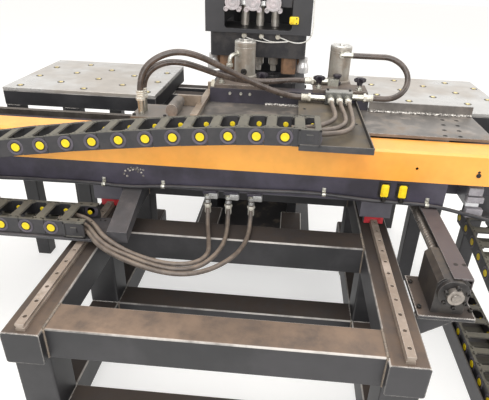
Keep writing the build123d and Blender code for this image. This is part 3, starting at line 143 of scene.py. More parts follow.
@dataclass(frozen=True)
class Finish:
    """One surface finish: its colours, its gloss, its dust, wear and fine grain, and a painted
    highlight on upper rounded corners.
    """

    name: str
    colour: Colour
    patch: Colour
    rough: float = 0.5
    metal: float = 0.0
    patch_size: float = 9.0
    patch_share: float = 0.5
    grain: Grain = Grain.FINE
    grain_size: float = 260.0
    grain_depth: float = 0.12
    stretch: Point = (1.0, 1.0, 1.0)
    dust: Colour | None = None
    dust_share: float = 0.6
    bloom: Colour | None = None
    bloom_size: float = 3.2
    bloom_from_front: bool = False
    # Strength of the painted highlight band on the upward-facing part of rounded corners.
    rounded_highlight: float = 0.0
    # Colour of worn edges, also used for the painted highlight band.
    wear: Colour | None = None
    wear_width: float = 0.0022
    wear_share: float = 0.8
    soft_edge: float = 0.0012
    coat: float = 0.0

    def dust_cover(self, graph: Graph, place: Socket) -> Socket:
        """Share of the surface that dust hides: most on faces that look up.

        Args:
            graph: Nodes of the material.
            place: Object coordinates.

        Returns:
            Nought to one.
        """
        facing = graph.ramp(graph.facing_up(), 0.55, 0.92)
        drift = graph.ramp(graph.noise(place, 14.0, 7.0, 0.7), 0.62 - 0.5 * self.dust_share,
                           0.70)
        return graph.times(facing, graph.scale_add(drift, 0.75, 0.25 * self.dust_share))

    def front_bloom(self, graph: Graph, place: Socket) -> Socket:
        """Share of the pale colour in the stand's dust: most towards the front and higher up, half
        as much on the outer tubes, none at the far right.

        Args:
            graph: Nodes of the material.
            place: Object coordinates.

        Returns:
            Nought to one.
        """
        streaks = graph.noise(place, self.bloom_size, 6.0, 0.6)
        pale = graph.scale_add(graph.ramp(streaks, 0.30, 0.75), 0.45, 0.45)
        forward = graph.scale_add(graph.separate(place, "Y"), -1.0, 0.0)
        leftward = graph.scale_add(graph.separate(place, "X"), -1.0, 0.0)
        outer = graph.ramp(graph.times(leftward, leftward), *BLOOM_OUTER_SQUARED)
        for share in (graph.ramp(forward, *BLOOM_FORWARD), graph.ramp(leftward, *BLOOM_LEFTWARD),
                      graph.scale_add(outer, -0.5, 1.0),
                      graph.ramp(graph.separate(place, "Z"), *BLOOM_LEVEL)):
            pale = graph.times(pale, share)
        return pale

    def lying_dust(self, graph: Graph, place: Socket) -> Feed:
        """Colour of the dust, paler in clouds where the finish has bloom.

        Args:
            graph: Nodes of the material.
            place: Object coordinates.

        Returns:
            One colour, or a socket with its clouds.
        """
        if self.bloom is None:
            return linear(self.dust)
        if self.bloom_from_front:
            pale = self.front_bloom(graph, place)
        else:
            pale = graph.ramp(graph.noise(place, self.bloom_size, 6.0, 0.68), 0.48, 0.66)
        return graph.mix(pale, linear(self.dust), linear(self.bloom))

    def worn_edges_and_highlight(self, graph: Graph, place: Socket) -> Socket:
        """Share of the wear colour: bare metal on chipped edges, most on top, and a painted
        highlight on the upward-facing part of round corners.

        Args:
            graph: Nodes of the material.
            place: Object coordinates.

        Returns:
            Nought to one.
        """
        wide = graph.bevel(self.wear_width)
        flat = graph.wire("ShaderNodeNewGeometry", "Normal", {})
        chips = graph.ramp(graph.noise(place, 60.0, 4.0, 0.7), 0.35, 0.62)
        mask = graph.times(graph.ramp(graph.away(wide, flat), 0.02, 0.16),
                           graph.scale_add(chips, 0.7, 0.3))
        upper = graph.ramp(graph.separate(wide, "Z"), 0.12, 0.45)
        mask = graph.times(graph.times(mask, graph.scale_add(upper, 0.7, 0.3)), self.wear_share)
        if not self.rounded_highlight:
            return mask
        # Painted highlight: a band where rounded corners face partly up and overhead light glints,
        # in the wear colour, broken up by noise.
        up = graph.facing_up()
        band = graph.times(graph.ramp(up, 0.18, 0.34),
                           graph.scale_add(graph.ramp(up, 0.86, 0.97), -1.0, 1.0))
        highlight_gaps = graph.ramp(graph.noise(place, 2.6, 6.0, 0.75), 0.34, 0.60)
        band = graph.times(band, graph.scale_add(highlight_gaps, 0.8, 0.2))
        return graph.larger(mask, graph.times(band, self.rounded_highlight))

    def relief(self, graph: Graph, place: Socket) -> Socket:
        """Normal with softened edges and the fine grain.

        Args:
            graph: Nodes of the material.
            place: Object coordinates.

        Returns:
            The normal.
        """
        coarse = self.grain is Grain.ROUGH
        fine = graph.noise(graph.stretched(place, self.stretch), self.grain_size,
                           6.0 if coarse else 2.5, 0.65)
        return graph.wire("ShaderNodeBump", "Normal", {
            "Strength": self.grain_depth, "Distance": 0.0015 if coarse else 0.0007,
            "Height": fine, "Normal": graph.bevel(self.soft_edge)})

    def build(self) -> bpy.types.Material:
        """Make the node material once and hand back the same one afterwards.

        Returns:
            The material that carries this finish's name.
        """
        label = f"dressed_{self.name}"
        ready = bpy.data.materials.get(label)
        if ready:
            return ready
        material = bpy.data.materials.new(label)
        material.use_nodes = True
        tree = material.node_tree
        tree.nodes.clear()
        graph = Graph(tree)
        place = graph.wire("ShaderNodeTexCoord", "Object", {})
        patches = graph.noise(place, self.patch_size, 5.0, 0.62)
        blotch = graph.ramp(patches, 0.5 - 0.24 * self.patch_share, 0.62)
        colour = graph.mix(blotch, linear(self.colour), linear(self.patch))
        colour = graph.brighten(colour, graph.noise(place, self.patch_size * 5.3, 3.0, 0.6), 0.22)
        rough = graph.scale_add(patches, 0.30, self.rough - 0.15)
        metal: Feed = self.metal
        if self.dust is not None:
            cover = self.dust_cover(graph, place)
            colour = graph.mix(cover, colour, self.lying_dust(graph, place))
            rough = graph.blend_value(cover, rough, DUST_ROUGHNESS)
            if self.metal:
                metal = graph.scale_add(cover, -self.metal, self.metal)
        if self.wear is not None:
            # Worn edges, plus the painted highlight band on rounded corners where that is set.
            mask = self.worn_edges_and_highlight(graph, place)
            colour = graph.mix(mask, colour, linear(self.wear))
            rough = graph.blend_value(mask, rough, WORN_ROUGHNESS)
        looks: dict[str, Feed] = {"Base Color": colour, "Roughness": rough, "Metallic": metal,
                                  "Normal": self.relief(graph, place)}
        if self.coat:
            looks |= {"Coat Weight": self.coat, "Coat Roughness": COAT_ROUGHNESS}
        shader = graph.wire("ShaderNodeBsdfPrincipled", "BSDF", looks)
        tree.links.new(shader, tree.nodes.new("ShaderNodeOutputMaterial").inputs["Surface"])
        return material


@dataclass(frozen=True)
class Graph:
    """Short words for the nodes that finishes, studio and repeats share."""

    tree: bpy.types.NodeTree

    def wire(self, kind: str, output: str | int, inputs: dict[str | int, Feed],
             **settings: object) -> Socket:
        """Add a node, feed its inputs and hand back one output.

        Args:
            kind: Blender's name of the node.
            output: Name or number of the output.
            inputs: Sockets to link, or plain values, by name or number of the input.
            settings: Plain properties of the node.

        Returns:
            The output's socket.
        """
        made = self.tree.nodes.new(kind)
        for key, value in settings.items():
            setattr(made, key, value)
        for key, value in inputs.items():
            if isinstance(value, Socket):
                self.tree.links.new(value, made.inputs[key])
            else:
                made.inputs[key].default_value = value
        return made.outputs[output]

    def noise(self, place: Socket, size: float, detail: float, roughness: float) -> Socket:
        """Soft noise on object coordinates."""
        return self.wire("ShaderNodeTexNoise", "Fac", {
            "Vector": place, "Scale": size, "Detail": detail, "Roughness": roughness})

    def stretched(self, place: Socket, scale: Point) -> Socket:
        """Object coordinates scaled along the axes."""
        return self.wire("ShaderNodeMapping", "Vector", {"Vector": place, "Scale": scale})

    def ramp(self, value: Socket, low: float, high: float) -> Socket:
        """Nought below low, one above high, smooth between."""
        return self.wire("ShaderNodeMapRange", "Result", {
            "Value": value, "From Min": low, "From Max": max(high, low + 0.01)},
            interpolation_type="SMOOTHSTEP", clamp=True)

    def mix(self, share: Feed, first: Feed, second: Feed) -> Socket:
        """Colour between two colours."""
        return self.wire("ShaderNodeMix", 2, {0: share, 6: first, 7: second}, data_type="RGBA")

    def blend_value(self, share: Feed, first: Feed, second: Feed) -> Socket:
        """Value between two values."""
        return self.wire("ShaderNodeMix", 0, {0: share, 2: first, 3: second}, data_type="FLOAT")

    def scale_add(self, value: Feed, factor: float, offset: float) -> Socket:
        """Value times a factor plus an offset."""
        return self.wire("ShaderNodeMath", 0, {0: value, 1: factor, 2: offset},
                         operation="MULTIPLY_ADD")

    def times(self, first: Feed, second: Feed) -> Socket:
        """Product of two values."""
        return self.wire("ShaderNodeMath", 0, {0: first, 1: second}, operation="MULTIPLY")

    def larger(self, first: Feed, second: Feed) -> Socket:
        """Greater of two values."""
        return self.wire("ShaderNodeMath", 0, {0: first, 1: second}, operation="MAXIMUM")

    def brighten(self, colour: Feed, value: Socket, swing: float) -> Socket:
        """Colour made a little lighter and darker by a value around one half."""
        light = self.scale_add(value, 2 * swing, 1.0 - swing)
        return self.wire("ShaderNodeHueSaturation", "Color", {"Value": light, "Color": colour})

    def separate(self, vector: Socket, axis: str) -> Socket:
        """One component of a place or direction."""
        return self.wire("ShaderNodeSeparateXYZ", axis, {0: vector})

    def facing_up(self) -> Socket:
        """How far the surface looks up: one on a level top."""
        return self.separate(self.wire("ShaderNodeNewGeometry", "Normal", {}), "Z")

    def bevel(self, radius: float) -> Socket:
        """Normal rounded over the edges."""
        return self.wire("ShaderNodeBevel", "Normal", {"Radius": radius}, samples=4)

    def away(self, first: Socket, second: Socket) -> Socket:
        """How far two directions part: nought where they agree."""
        agree = self.wire("ShaderNodeVectorMath", "Value", {0: first, 1: second},
                          operation="DOT_PRODUCT")
        return self.scale_add(agree, -1.0, 1.0)


DUST_ROUGHNESS = 0.86
WORN_ROUGHNESS = 0.38
COAT_ROUGHNESS = 0.25
BLOOM_FORWARD = (0.88, 1.42)
BLOOM_LEFTWARD = (-0.56, -0.53)
BLOOM_OUTER_SQUARED = (0.176, 0.194)
BLOOM_LEVEL = (0.2, 0.44)
DUST = (124, 112, 98)

# The frame's wear colour paints its chipped edges and also a painted highlight band along the upper
# rounded corners of its tubes.
FRAME_PAINT = Finish("frame_paint_worn", (34, 34, 36), (52, 51, 53), 0.5, patch_size=4.0,
                     dust=(64, 54, 47), dust_share=1.0, bloom=(152, 128, 108),
                     bloom_from_front=True, rounded_highlight=0.6,
                     wear=(232, 226, 218), wear_width=0.0062, wear_share=1.0, grain_depth=0.1)
BEAM_PAINT = Finish("beam_paint", (46, 43, 52), (64, 60, 73), 0.42, patch_size=6.0,
                    dust=(84, 74, 66), dust_share=0.5, wear=(150, 148, 150), wear_share=0.6)
RISER_PAINT = Finish("riser_paint", (90, 88, 96), (102, 100, 108), 0.5, patch_size=6.0,
                     dust=(88, 78, 70), dust_share=0.5, wear=(150, 148, 150), wear_share=0.6)
SUPPORT_PAINT = Finish("chain_support_paint", (60, 60, 63), (78, 76, 78), 0.5, patch_size=9.0,
                       dust=(74, 70, 70), dust_share=0.7, bloom=(104, 98, 98),
                       wear=(160, 158, 158), wear_share=0.7)
PRESS_PAINT = Finish("press_paint", (40, 40, 42), (54, 53, 55), 0.5, patch_size=3.0,
                     wear=(140, 142, 146), wear_share=0.5, dust=DUST, dust_share=0.2)
COVER_PAINT = Finish("cover_paint", (246, 164, 62), (252, 176, 76), 0.36, patch_size=2.2,
                     grain_depth=0.05, dust=(236, 166, 92), dust_share=0.5,
                     wear=(255, 206, 120), wear_share=0.6, coat=0.25)
TABLE_STEEL = Finish("table_plate_steel", (190, 188, 184), (172, 164, 154), 0.3, 0.3,
                     patch_size=3.0, grain_size=90.0, grain_depth=0.05,
                     stretch=(1.0, 14.0, 1.0), wear=(235, 235, 232), wear_share=0.6)
CARRIAGE_STEEL = Finish("carriage_plate_steel", (106, 102, 98), (134, 128, 122), 0.38, 0.45,
                        patch_size=7.0, grain_size=70.0, grain_depth=0.08,
                        stretch=(1.0, 10.0, 1.0), dust=(124, 112, 100), dust_share=0.3,
                        bloom=(168, 160, 154), wear=(216, 214, 210), wear_share=0.8)
GUARD_STEEL = Finish("guard_steel_dusky", (74, 66, 69), (92, 84, 85), 0.42, 0.3, patch_size=7.0,
                     dust=(88, 78, 76), dust_share=0.7, wear=(168, 164, 162), wear_share=0.7)
TRAY_STEEL = Finish("tray_steel_dusty", (56, 56, 58), (74, 72, 72), 0.46, 0.3, patch_size=9.0,
                    dust=(102, 91, 74), dust_share=0.8, bloom=(132, 119, 98),
                    wear=(160, 158, 156), wear_share=0.6)
RAIL_STEEL = Finish("rail_steel_dusty", (150, 138, 126), (172, 158, 146), 0.4, 0.45,
                    patch_size=18.0, dust=(146, 130, 116), dust_share=0.8,
                    bloom=(186, 172, 160), bloom_size=9.0, wear=(224, 214, 204), wear_share=0.8)
CROSS_RAIL = Finish("cross_rail_dusky", (66, 62, 58), (84, 79, 74), 0.42, 0.4, patch_size=18.0,
                    dust=(92, 84, 76), dust_share=0.8, wear=(170, 164, 156), wear_share=0.7)
BLOCK_STEEL = Finish("slide_block_steel", (128, 128, 130), (150, 148, 146), 0.36, 0.7,
                     patch_size=22.0, wear=(220, 220, 220))
MANIFOLD_STEEL = Finish("manifold_steel", (90, 90, 88), (112, 111, 107), 0.36, 0.5,
                        patch_size=18.0, dust=(150, 148, 142), dust_share=0.9,
                        wear=(224, 222, 216), wear_share=0.8)
TOOL_STEEL = Finish("tool_steel_dark", (54, 53, 55), (72, 69, 68), 0.42, 0.5, patch_size=16.0,
                    wear=(190, 186, 180), wear_share=0.7)
CAST_BLACK = Finish("bearing_cast_dark", (48, 46, 46), (66, 62, 58), 0.48, 0.2, patch_size=14.0,
                    dust=(86, 76, 66), dust_share=0.5, wear=(156, 152, 148), wear_share=0.8)
BRIGHT_STEEL = Finish("bright_ground_steel", (214, 214, 212), (196, 194, 190), 0.2, 0.95,
                      patch_size=14.0, grain_depth=0.04)
PUNCH_STEEL = Finish("punch_polished", (214, 208, 198), (188, 180, 170), 0.22, 0.4,
                     patch_size=20.0, wear=(240, 238, 234), wear_share=0.5)
SELECTOR_METAL = Finish("selector_aluminium", (158, 153, 153), (178, 168, 168), 0.34, 0.5,
                        patch_size=30.0, wear=(214, 210, 210), wear_share=0.8)
PILLAR_CHROME = Finish("pillar_chrome", (214, 212, 210), (198, 196, 194), 0.24, 0.3,
                       patch_size=20.0)
SCREW_STEEL = Finish("ball_screw_steel", (132, 126, 120), (160, 152, 144), 0.3, 0.8,
                     patch_size=24.0, dust=(112, 100, 90), dust_share=0.6)
CYLINDER_GREY = Finish("cylinder_grey_dusty", (166, 161, 152), (146, 136, 124), 0.34, 0.5,
                       patch_size=12.0, dust=(176, 166, 152), dust_share=0.7,
                       wear=(224, 220, 214), wear_share=0.7)
CYLINDER_SILVER = Finish("cylinder_silver", (206, 204, 198), (190, 186, 178), 0.3, 0.6,
                         patch_size=12.0, wear=(240, 238, 234), wear_share=0.7)
PRESS_GREY = Finish("press_cylinder_paint", (112, 114, 118), (126, 128, 132), 0.45,
                    patch_size=4.0, wear=(160, 160, 162), wear_share=0.4)
CLAMP_STEEL = Finish("clamp_steel_brown", (86, 78, 74), (112, 100, 90), 0.44, 0.45,
                     patch_size=14.0, dust=(112, 100, 90), dust_share=0.7,
                     wear=(210, 204, 196), wear_share=0.9)
GAUGE_STEEL = Finish("gauge_base_steel", (112, 108, 104), (136, 130, 124), 0.4, 0.5,
                     patch_size=14.0, dust=(134, 122, 110), dust_share=0.6,
                     wear=(220, 216, 210), wear_share=0.8)
GAUGE_BAR = Finish("gauge_bar_stained", (146, 130, 114), (168, 152, 134), 0.42, 0.4,
                   patch_size=16.0, wear=(214, 206, 196), wear_share=0.7)
RUSTY_STEEL = Finish("rusty_steel", (104, 82, 66), (140, 108, 82), 0.6, 0.3, patch_size=18.0,
                     grain=Grain.ROUGH, grain_size=160.0, grain_depth=0.35,
                     wear=(196, 182, 164), wear_share=0.7)
CHAIN_PLASTIC = Finish("chain_plastic_black", (40, 40, 43), (52, 50, 52), 0.44, patch_size=20.0,
                       dust=(112, 107, 94), dust_share=1.0, wear=(110, 108, 100),
                       wear_share=0.7, soft_edge=0.0008)
# Painted shade: near-black for the shade in the recess round each chain pin and inside screw holes.
CHAIN_RECESS_SHADE = Finish("chain_boss_black", (16, 13, 7), (22, 18, 10), 0.5, patch_size=30.0,
                    soft_edge=0.0005)
# Painted highlight: the link's own plastic painted lighter on the raised rings round the pins.
CHAIN_RING_HIGHLIGHT = Finish("chain_ring_dark", (78, 73, 82), (90, 84, 94), 0.4, patch_size=24.0)
CHAIN_PIN = Finish("chain_pin_yellow", (226, 198, 10), (236, 208, 22), 0.42, patch_size=30.0,
                   grain_depth=0.03)
HOSE_RUBBER = Finish("hose_rubber_brown", (66, 57, 51), (86, 75, 68), 0.27, patch_size=26.0,
                     grain_size=420.0, grain_depth=0.08, dust=(122, 108, 98), dust_share=0.25,
                     soft_edge=0.0004)
SUPPLY_RUBBER = Finish("hose_rubber_taupe", (84, 75, 68), (108, 97, 88), 0.4,
                       patch_size=26.0, grain_size=420.0, grain_depth=0.1,
                       dust=(138, 124, 110), dust_share=0.5, soft_edge=0.0004)
CABLE_SHEATH = Finish("cable_sheath_dark", (36, 36, 40), (54, 52, 54), 0.4, patch_size=26.0,
                      dust=(96, 90, 88), dust_share=0.6, soft_edge=0.0004)
ZINC = Finish("zinc_fitting", (196, 194, 184), (170, 168, 156), 0.3, 0.85, patch_size=40.0,
              wear=(238, 238, 234), wear_share=0.6, soft_edge=0.0006)
FERRULE_CREAM = Finish("ferrule_cream", (216, 212, 200), (192, 186, 172), 0.34, 0.35,
                       patch_size=40.0, wear=(246, 244, 238), wear_share=0.7, soft_edge=0.0006)
RED_SEAL = Finish("red_seal", (170, 40, 48), (190, 60, 66), 0.4, patch_size=30.0,
                  dust=(140, 84, 92), dust_share=0.6)
SERVO_BLACK = Finish("servo_black", (30, 30, 33), (42, 42, 45), 0.42, patch_size=10.0,
                     dust=DUST, dust_share=0.4, wear=(96, 96, 98), wear_share=0.5)
ALUMINIUM = Finish("aluminium_matt", (206, 206, 208), (188, 190, 194), 0.34, 0.85,
                   patch_size=18.0, wear=(240, 240, 240), wear_share=0.5)
BOLT_BLACK = Finish("bolt_black", (38, 37, 38), (56, 53, 50), 0.4, 0.6, patch_size=60.0,
                    wear=(120, 116, 110), wear_share=0.5, soft_edge=0.0004)
SENSOR_YELLOW = Finish("sensor_yellow", (250, 222, 36), (244, 208, 24), 0.4, patch_size=40.0)
CABLE_WHITE = Finish("cable_white", (222, 220, 214), (204, 200, 192), 0.45, patch_size=50.0)
TROUGH_PAINT = Finish("trough_paint", (74, 73, 76), (92, 90, 90), 0.5, patch_size=8.0,
                      dust=(96, 88, 80), dust_share=0.7, wear=(160, 158, 154), wear_share=0.6)
BRASS = Finish("brass_dull", (190, 172, 120), (206, 190, 144), 0.32, 0.7, patch_size=60.0)
KNOB_BLACK = Finish("knob_black", (34, 30, 36), (48, 43, 50), 0.34, patch_size=40.0,
                    dust=(92, 84, 84), dust_share=0.4, soft_edge=0.0008)
WHITE_PLASTIC = Finish("white_plastic", (226, 220, 204), (212, 204, 186), 0.4, patch_size=50.0)
WELD = Finish("weld_bead", (96, 88, 80), (126, 112, 96), 0.5, 0.3, patch_size=90.0,
              grain=Grain.ROUGH, grain_size=300.0, grain_depth=0.4, wear=(170, 160, 150))
BRIGHT_WELD = Finish("weld_bead_bright", (50, 46, 44), (226, 220, 212), 0.34, 0.5,
                     patch_size=150.0, patch_share=0.2, grain=Grain.ROUGH, grain_size=300.0,
                     grain_depth=0.4, wear=(230, 224, 214))
MODULE_GREY = Finish("module_grey", (138, 134, 138), (154, 150, 154), 0.45, patch_size=30.0,
                     wear=(200, 198, 200), wear_share=0.5)
TACK_SILVER = Finish("weld_tack_silver", (84, 80, 78), (186, 180, 170), 0.4, 0.4,
                     patch_size=90.0)
TERMINAL_SILVER = Finish("terminal_silver", (186, 186, 184), (160, 160, 158), 0.35, 0.7,
                         patch_size=50.0, wear=(230, 230, 228), wear_share=0.6)

NODE_FINISH: dict[str, Finish] = {
    "press_side_plates": PRESS_PAINT, "press_cross_plates": PRESS_PAINT,
    "head_front": PRESS_PAINT, "main_cylinder": PRESS_GREY, "punch_guide_block": TOOL_STEEL,
    "stripper_blocks": RUSTY_STEEL, "die_set": TOOL_STEEL, "table_plates": TABLE_STEEL,
    "table_frames": FRAME_PAINT, "stand_frame": FRAME_PAINT, "levelling_feet": ZINC,
    "y_rails": RAIL_STEEL, "screw_bearings": CAST_BLACK, "screw_guard": GUARD_STEEL,
    "y_servo": SERVO_BLACK, "y_chain_trough": TROUGH_PAINT, "ram_block": TOOL_STEEL,
    "ram_piston": BRIGHT_STEEL, "selector_cylinders": SELECTOR_METAL, "selector_left": BRIGHT_STEEL,
    "selector_middle": BRIGHT_STEEL, "selector_right": BRIGHT_STEEL,
    "punch_left": PUNCH_STEEL, "punch_middle": PUNCH_STEEL, "punch_right": PUNCH_STEEL,
    "y_slide_blocks": BLOCK_STEEL, "block_seals": RED_SEAL, "risers": RISER_PAINT,
    "main_beam": BEAM_PAINT, "beam_cover": COVER_PAINT, "x_rails": CROSS_RAIL,
    "beam_end_blocks": ALUMINIUM, "x_servo": SERVO_BLACK, "y_nut_bracket": TOOL_STEEL,
    "chain_support": SUPPORT_PAINT, "supply_fittings": ZINC, "y_screw": SCREW_STEEL,
    "x_screw": SCREW_STEEL, "x_slide_blocks": BLOCK_STEEL, "carriage_plate": CARRIAGE_STEEL,
    "clamp_rail": BEAM_PAINT, "tray": TRAY_STEEL, "manifold": MANIFOLD_STEEL,
    "hose_fittings": ZINC, "clamp_bodies": CLAMP_STEEL, "clamp_cylinders": CYLINDER_GREY,
    "gauge_base": GAUGE_STEEL, "clamp_jaw_left": TOOL_STEEL, "clamp_jaw_right": TOOL_STEEL,
    "gauge_bar": GAUGE_BAR, "beam_conduit": CABLE_SHEATH,
}


class Solid:
    """Mesh building in plain words, from millimetres, collected in one bmesh."""

    def __init__(self) -> None:
        """Start with nothing."""
        self.mesh = bmesh.new()

    def slab(self, low: Point, high: Point, bevel: float = 0.0) -> Solid:
        """Box between two corners with bevelled edges.

        Args:
            low: Lowest corner.
            high: Highest corner.
            bevel: Width of the bevel.

        Returns:
            This collection, for the next piece.
        """
        part = bmesh.new()
        bmesh.ops.create_cube(part, size=1.0)
        size = Vector(mm(*high)) - Vector(mm(*low))
        middle = (Vector(mm(*high)) + Vector(mm(*low))) / 2
        for vert in part.verts:
            vert.co = Vector((vert.co.x * size.x, vert.co.y * size.y, vert.co.z * size.z)) + middle
        if bevel:
            bmesh.ops.bevel(part, geom=part.edges[:], offset=bevel / 1000, segments=2,
                            affect="EDGES")
        return self.take(part)

    def lathe(self, outline: Sequence[tuple[float, float]], segments: int = 24,
              place: Matrix | None = None) -> Solid:
        """Turned piece about Z from (radius, height) points that start and end on the axis.

        Args:
            outline: Points from the bottom pole to the top pole.
            segments: Facets round the axis.
            place: Where the piece goes.

        Returns:
            This collection, for the next piece.
        """
        part = bmesh.new()
        rings: list[list[bmesh.types.BMVert]] = []
        for radius, height in (mm(*corner) for corner in outline):
            if radius < 1e-7:
                rings.append([part.verts.new((0, 0, height))])
                continue
            rings.append([part.verts.new((radius * math.cos(2 * math.pi * k / segments),
                                          radius * math.sin(2 * math.pi * k / segments), height))
                          for k in range(segments)])
        for lower, upper in zip(rings, rings[1:]):
            for k in range(segments):
                n = (k + 1) % segments
                if len(lower) == 1 and len(upper) == 1:
                    continue
                if len(lower) == 1:
                    part.faces.new((lower[0], upper[n], upper[k]))
                elif len(upper) == 1:
                    part.faces.new((lower[k], lower[n], upper[0]))
                else:
                    part.faces.new((lower[k], lower[n], upper[n], upper[k]))
        if place is not None:
            part.transform(place)
        return self.take(part)

    def prism(self, outline: Sequence[tuple[float, float]], low: float, high: float,
              bevel: float = 0.0, place: Matrix | None = None) -> Solid:
        """Flat outline in X and Y carried up Z.

        Args:
            outline: Corners in order.
            low: Bottom level.
            high: Top level.
            bevel: Width of the bevel on the rims.
            place: Where the piece goes.

        Returns:
            This collection, for the next piece.
        """
        part = bmesh.new()
        base = [part.verts.new(mm(x, y, low)) for x, y in outline]
        top = [part.verts.new(mm(x, y, high)) for x, y in outline]
        part.faces.new(list(reversed(base)))
        part.faces.new(top)
        for k in range(len(base)):
            n = (k + 1) % len(base)
            part.faces.new((base[k], base[n], top[n], top[k]))
        if bevel:
            rims = [e for e in part.edges if abs(e.verts[0].co.z - e.verts[1].co.z) < 1e-7]
            bmesh.ops.bevel(part, geom=rims, offset=bevel / 1000, segments=2, affect="EDGES")
        if place is not None:
            part.transform(place)
        return self.take(part)

    def take(self, part: bmesh.types.BMesh) -> Solid:
        """Move a finished part into the collection.

        Args:
            part: The finished part; it is freed.

        Returns:
            This collection, for the next piece.
        """
        bmesh.ops.recalc_face_normals(part, faces=part.faces[:])
        keep = bpy.data.meshes.new("part")
        part.to_mesh(keep)
        part.free()
        self.mesh.from_mesh(keep)
        bpy.data.meshes.remove(keep)
        return self

    def object(self, name: str, finish: Finish, smooth: bool = True) -> bpy.types.Object:
        """Turn the collection into an object with its finish.

        Args:
            name: Object name.
            finish: Surface finish.
            smooth: Whether faces share their shading across shallow edges.

        Returns:
            The linked object.
        """
        data = bpy.data.meshes.new(name)
        self.mesh.to_mesh(data)
        self.mesh.free()
        data.materials.append(finish.build())
        made = link_object(name, data)
        if smooth:
            data.shade_smooth()
            data.set_sharp_from_angle(angle=SHARP_ANGLE)
        return made


@dataclass
class Repeat:
    """Stands one small piece at many places with a Geometry Nodes tree, then keeps the mesh."""

    name: str
    finish: Finish
    places: list[Matrix]

    def tree(self) -> bpy.types.NodeTree:
        """Build the tree that instances a piece on points with their own turn.

        Returns:
            A node group with inputs Carrier, Piece, Size and Finish.
        """
        ready = bpy.data.node_groups.get("stand_piece_at_places")
        if ready:
            return ready
        tree = bpy.data.node_groups.new("stand_piece_at_places", "GeometryNodeTree")
        face = tree.interface
        face.new_socket("Carrier", in_out="INPUT", socket_type="NodeSocketGeometry")
        face.new_socket("Piece", in_out="INPUT", socket_type="NodeSocketObject")
        size = face.new_socket("Size", in_out="INPUT", socket_type="NodeSocketFloat")
        size.default_value = 1.0
        face.new_socket("Finish", in_out="INPUT", socket_type="NodeSocketMaterial")
        face.new_socket("Result", in_out="OUTPUT", socket_type="NodeSocketGeometry")
        graph = Graph(tree)
        start = tree.nodes.new("NodeGroupInput").outputs
        piece = graph.wire("GeometryNodeObjectInfo", "Geometry", {"Object": start["Piece"]})
        turn = graph.wire("GeometryNodeInputNamedAttribute", "Attribute", {"Name": "turn"},
                          data_type="FLOAT_VECTOR")
        rotation = graph.wire("FunctionNodeEulerToRotation", 0, {0: turn})
        stood = graph.wire("GeometryNodeInstanceOnPoints", "Instances", {
            "Points": start["Carrier"], "Instance": piece, "Rotation": rotation,
            "Scale": start["Size"]})
        real = graph.wire("GeometryNodeRealizeInstances", "Geometry", {"Geometry": stood})
        painted = graph.wire("GeometryNodeSetMaterial", "Geometry", {
            "Geometry": real, "Material": start["Finish"]})
        tree.links.new(painted, tree.nodes.new("NodeGroupOutput").inputs["Result"])
        return tree

    def make(self, pattern: bpy.types.Object, size: float = 1.0) -> bpy.types.Object:
        """Stand the pattern at every place and bake the result.

        Args:
            pattern: The piece that is repeated; it is removed afterwards.
            size: Scale of each copy.

        Returns:
            One plain mesh object.
        """
        carrier_mesh = bpy.data.meshes.new(self.name + "_places")
        carrier_mesh.from_pydata([m.to_translation()[:] for m in self.places], [], [])
        turns = carrier_mesh.attributes.new("turn", "FLOAT_VECTOR", "POINT")
        for k, m in enumerate(self.places):
            turns.data[k].vector = m.to_euler("XYZ")[:]
        carrier = link_object(self.name + "_carrier", carrier_mesh)
        modifier = carrier.modifiers.new("repeat", "NODES")
        modifier.node_group = self.tree()
        sockets = {item.name: item.identifier for item in modifier.node_group.interface.items_tree}
        modifier[sockets["Piece"]] = pattern
        modifier[sockets["Size"]] = size
        modifier[sockets["Finish"]] = self.finish.build()
        carrier.update_tag()
        bpy.context.view_layer.update()
        seen = carrier.evaluated_get(bpy.context.evaluated_depsgraph_get())
        data = bpy.data.meshes.new_from_object(seen)
        data.name = self.name
        carrier.modifiers.remove(modifier)
        bpy.data.objects.remove(carrier)
        bpy.data.objects.remove(pattern)
        made = link_object(self.name, data)
        data.shade_smooth()
        data.set_sharp_from_angle(angle=SHARP_ANGLE)
        return made


def standing(at: Point, towards: Point = (0, 0, 1), about: Point = (0, 1, 0)) -> Matrix:
    """Place at a point whose Z looks along a direction.

    Args:
        at: The point, in millimetres.
        towards: Direction of the piece's own Z.
        about: Direction that the piece's own Y leans to.

    Returns:
        The placing matrix.
    """
    z = Vector(towards).normalized()
    y = Vector(about)
    y = (y - z * y.dot(z))
    if y.length < 1e-6:
        y = Vector((1, 0, 0)) - z * z.x
    y.normalize()
    x = y.cross(z)
    turn = Matrix((x, y, z)).transposed().to_4x4()
    turn.translation = mm(*at)
    return turn


@dataclass(frozen=True)
class Lamp:
    """One soft square lamp: its place, what it looks at, its width and its power."""

    name: str
    at: Point
    aim: Point
    width: float
    power: float


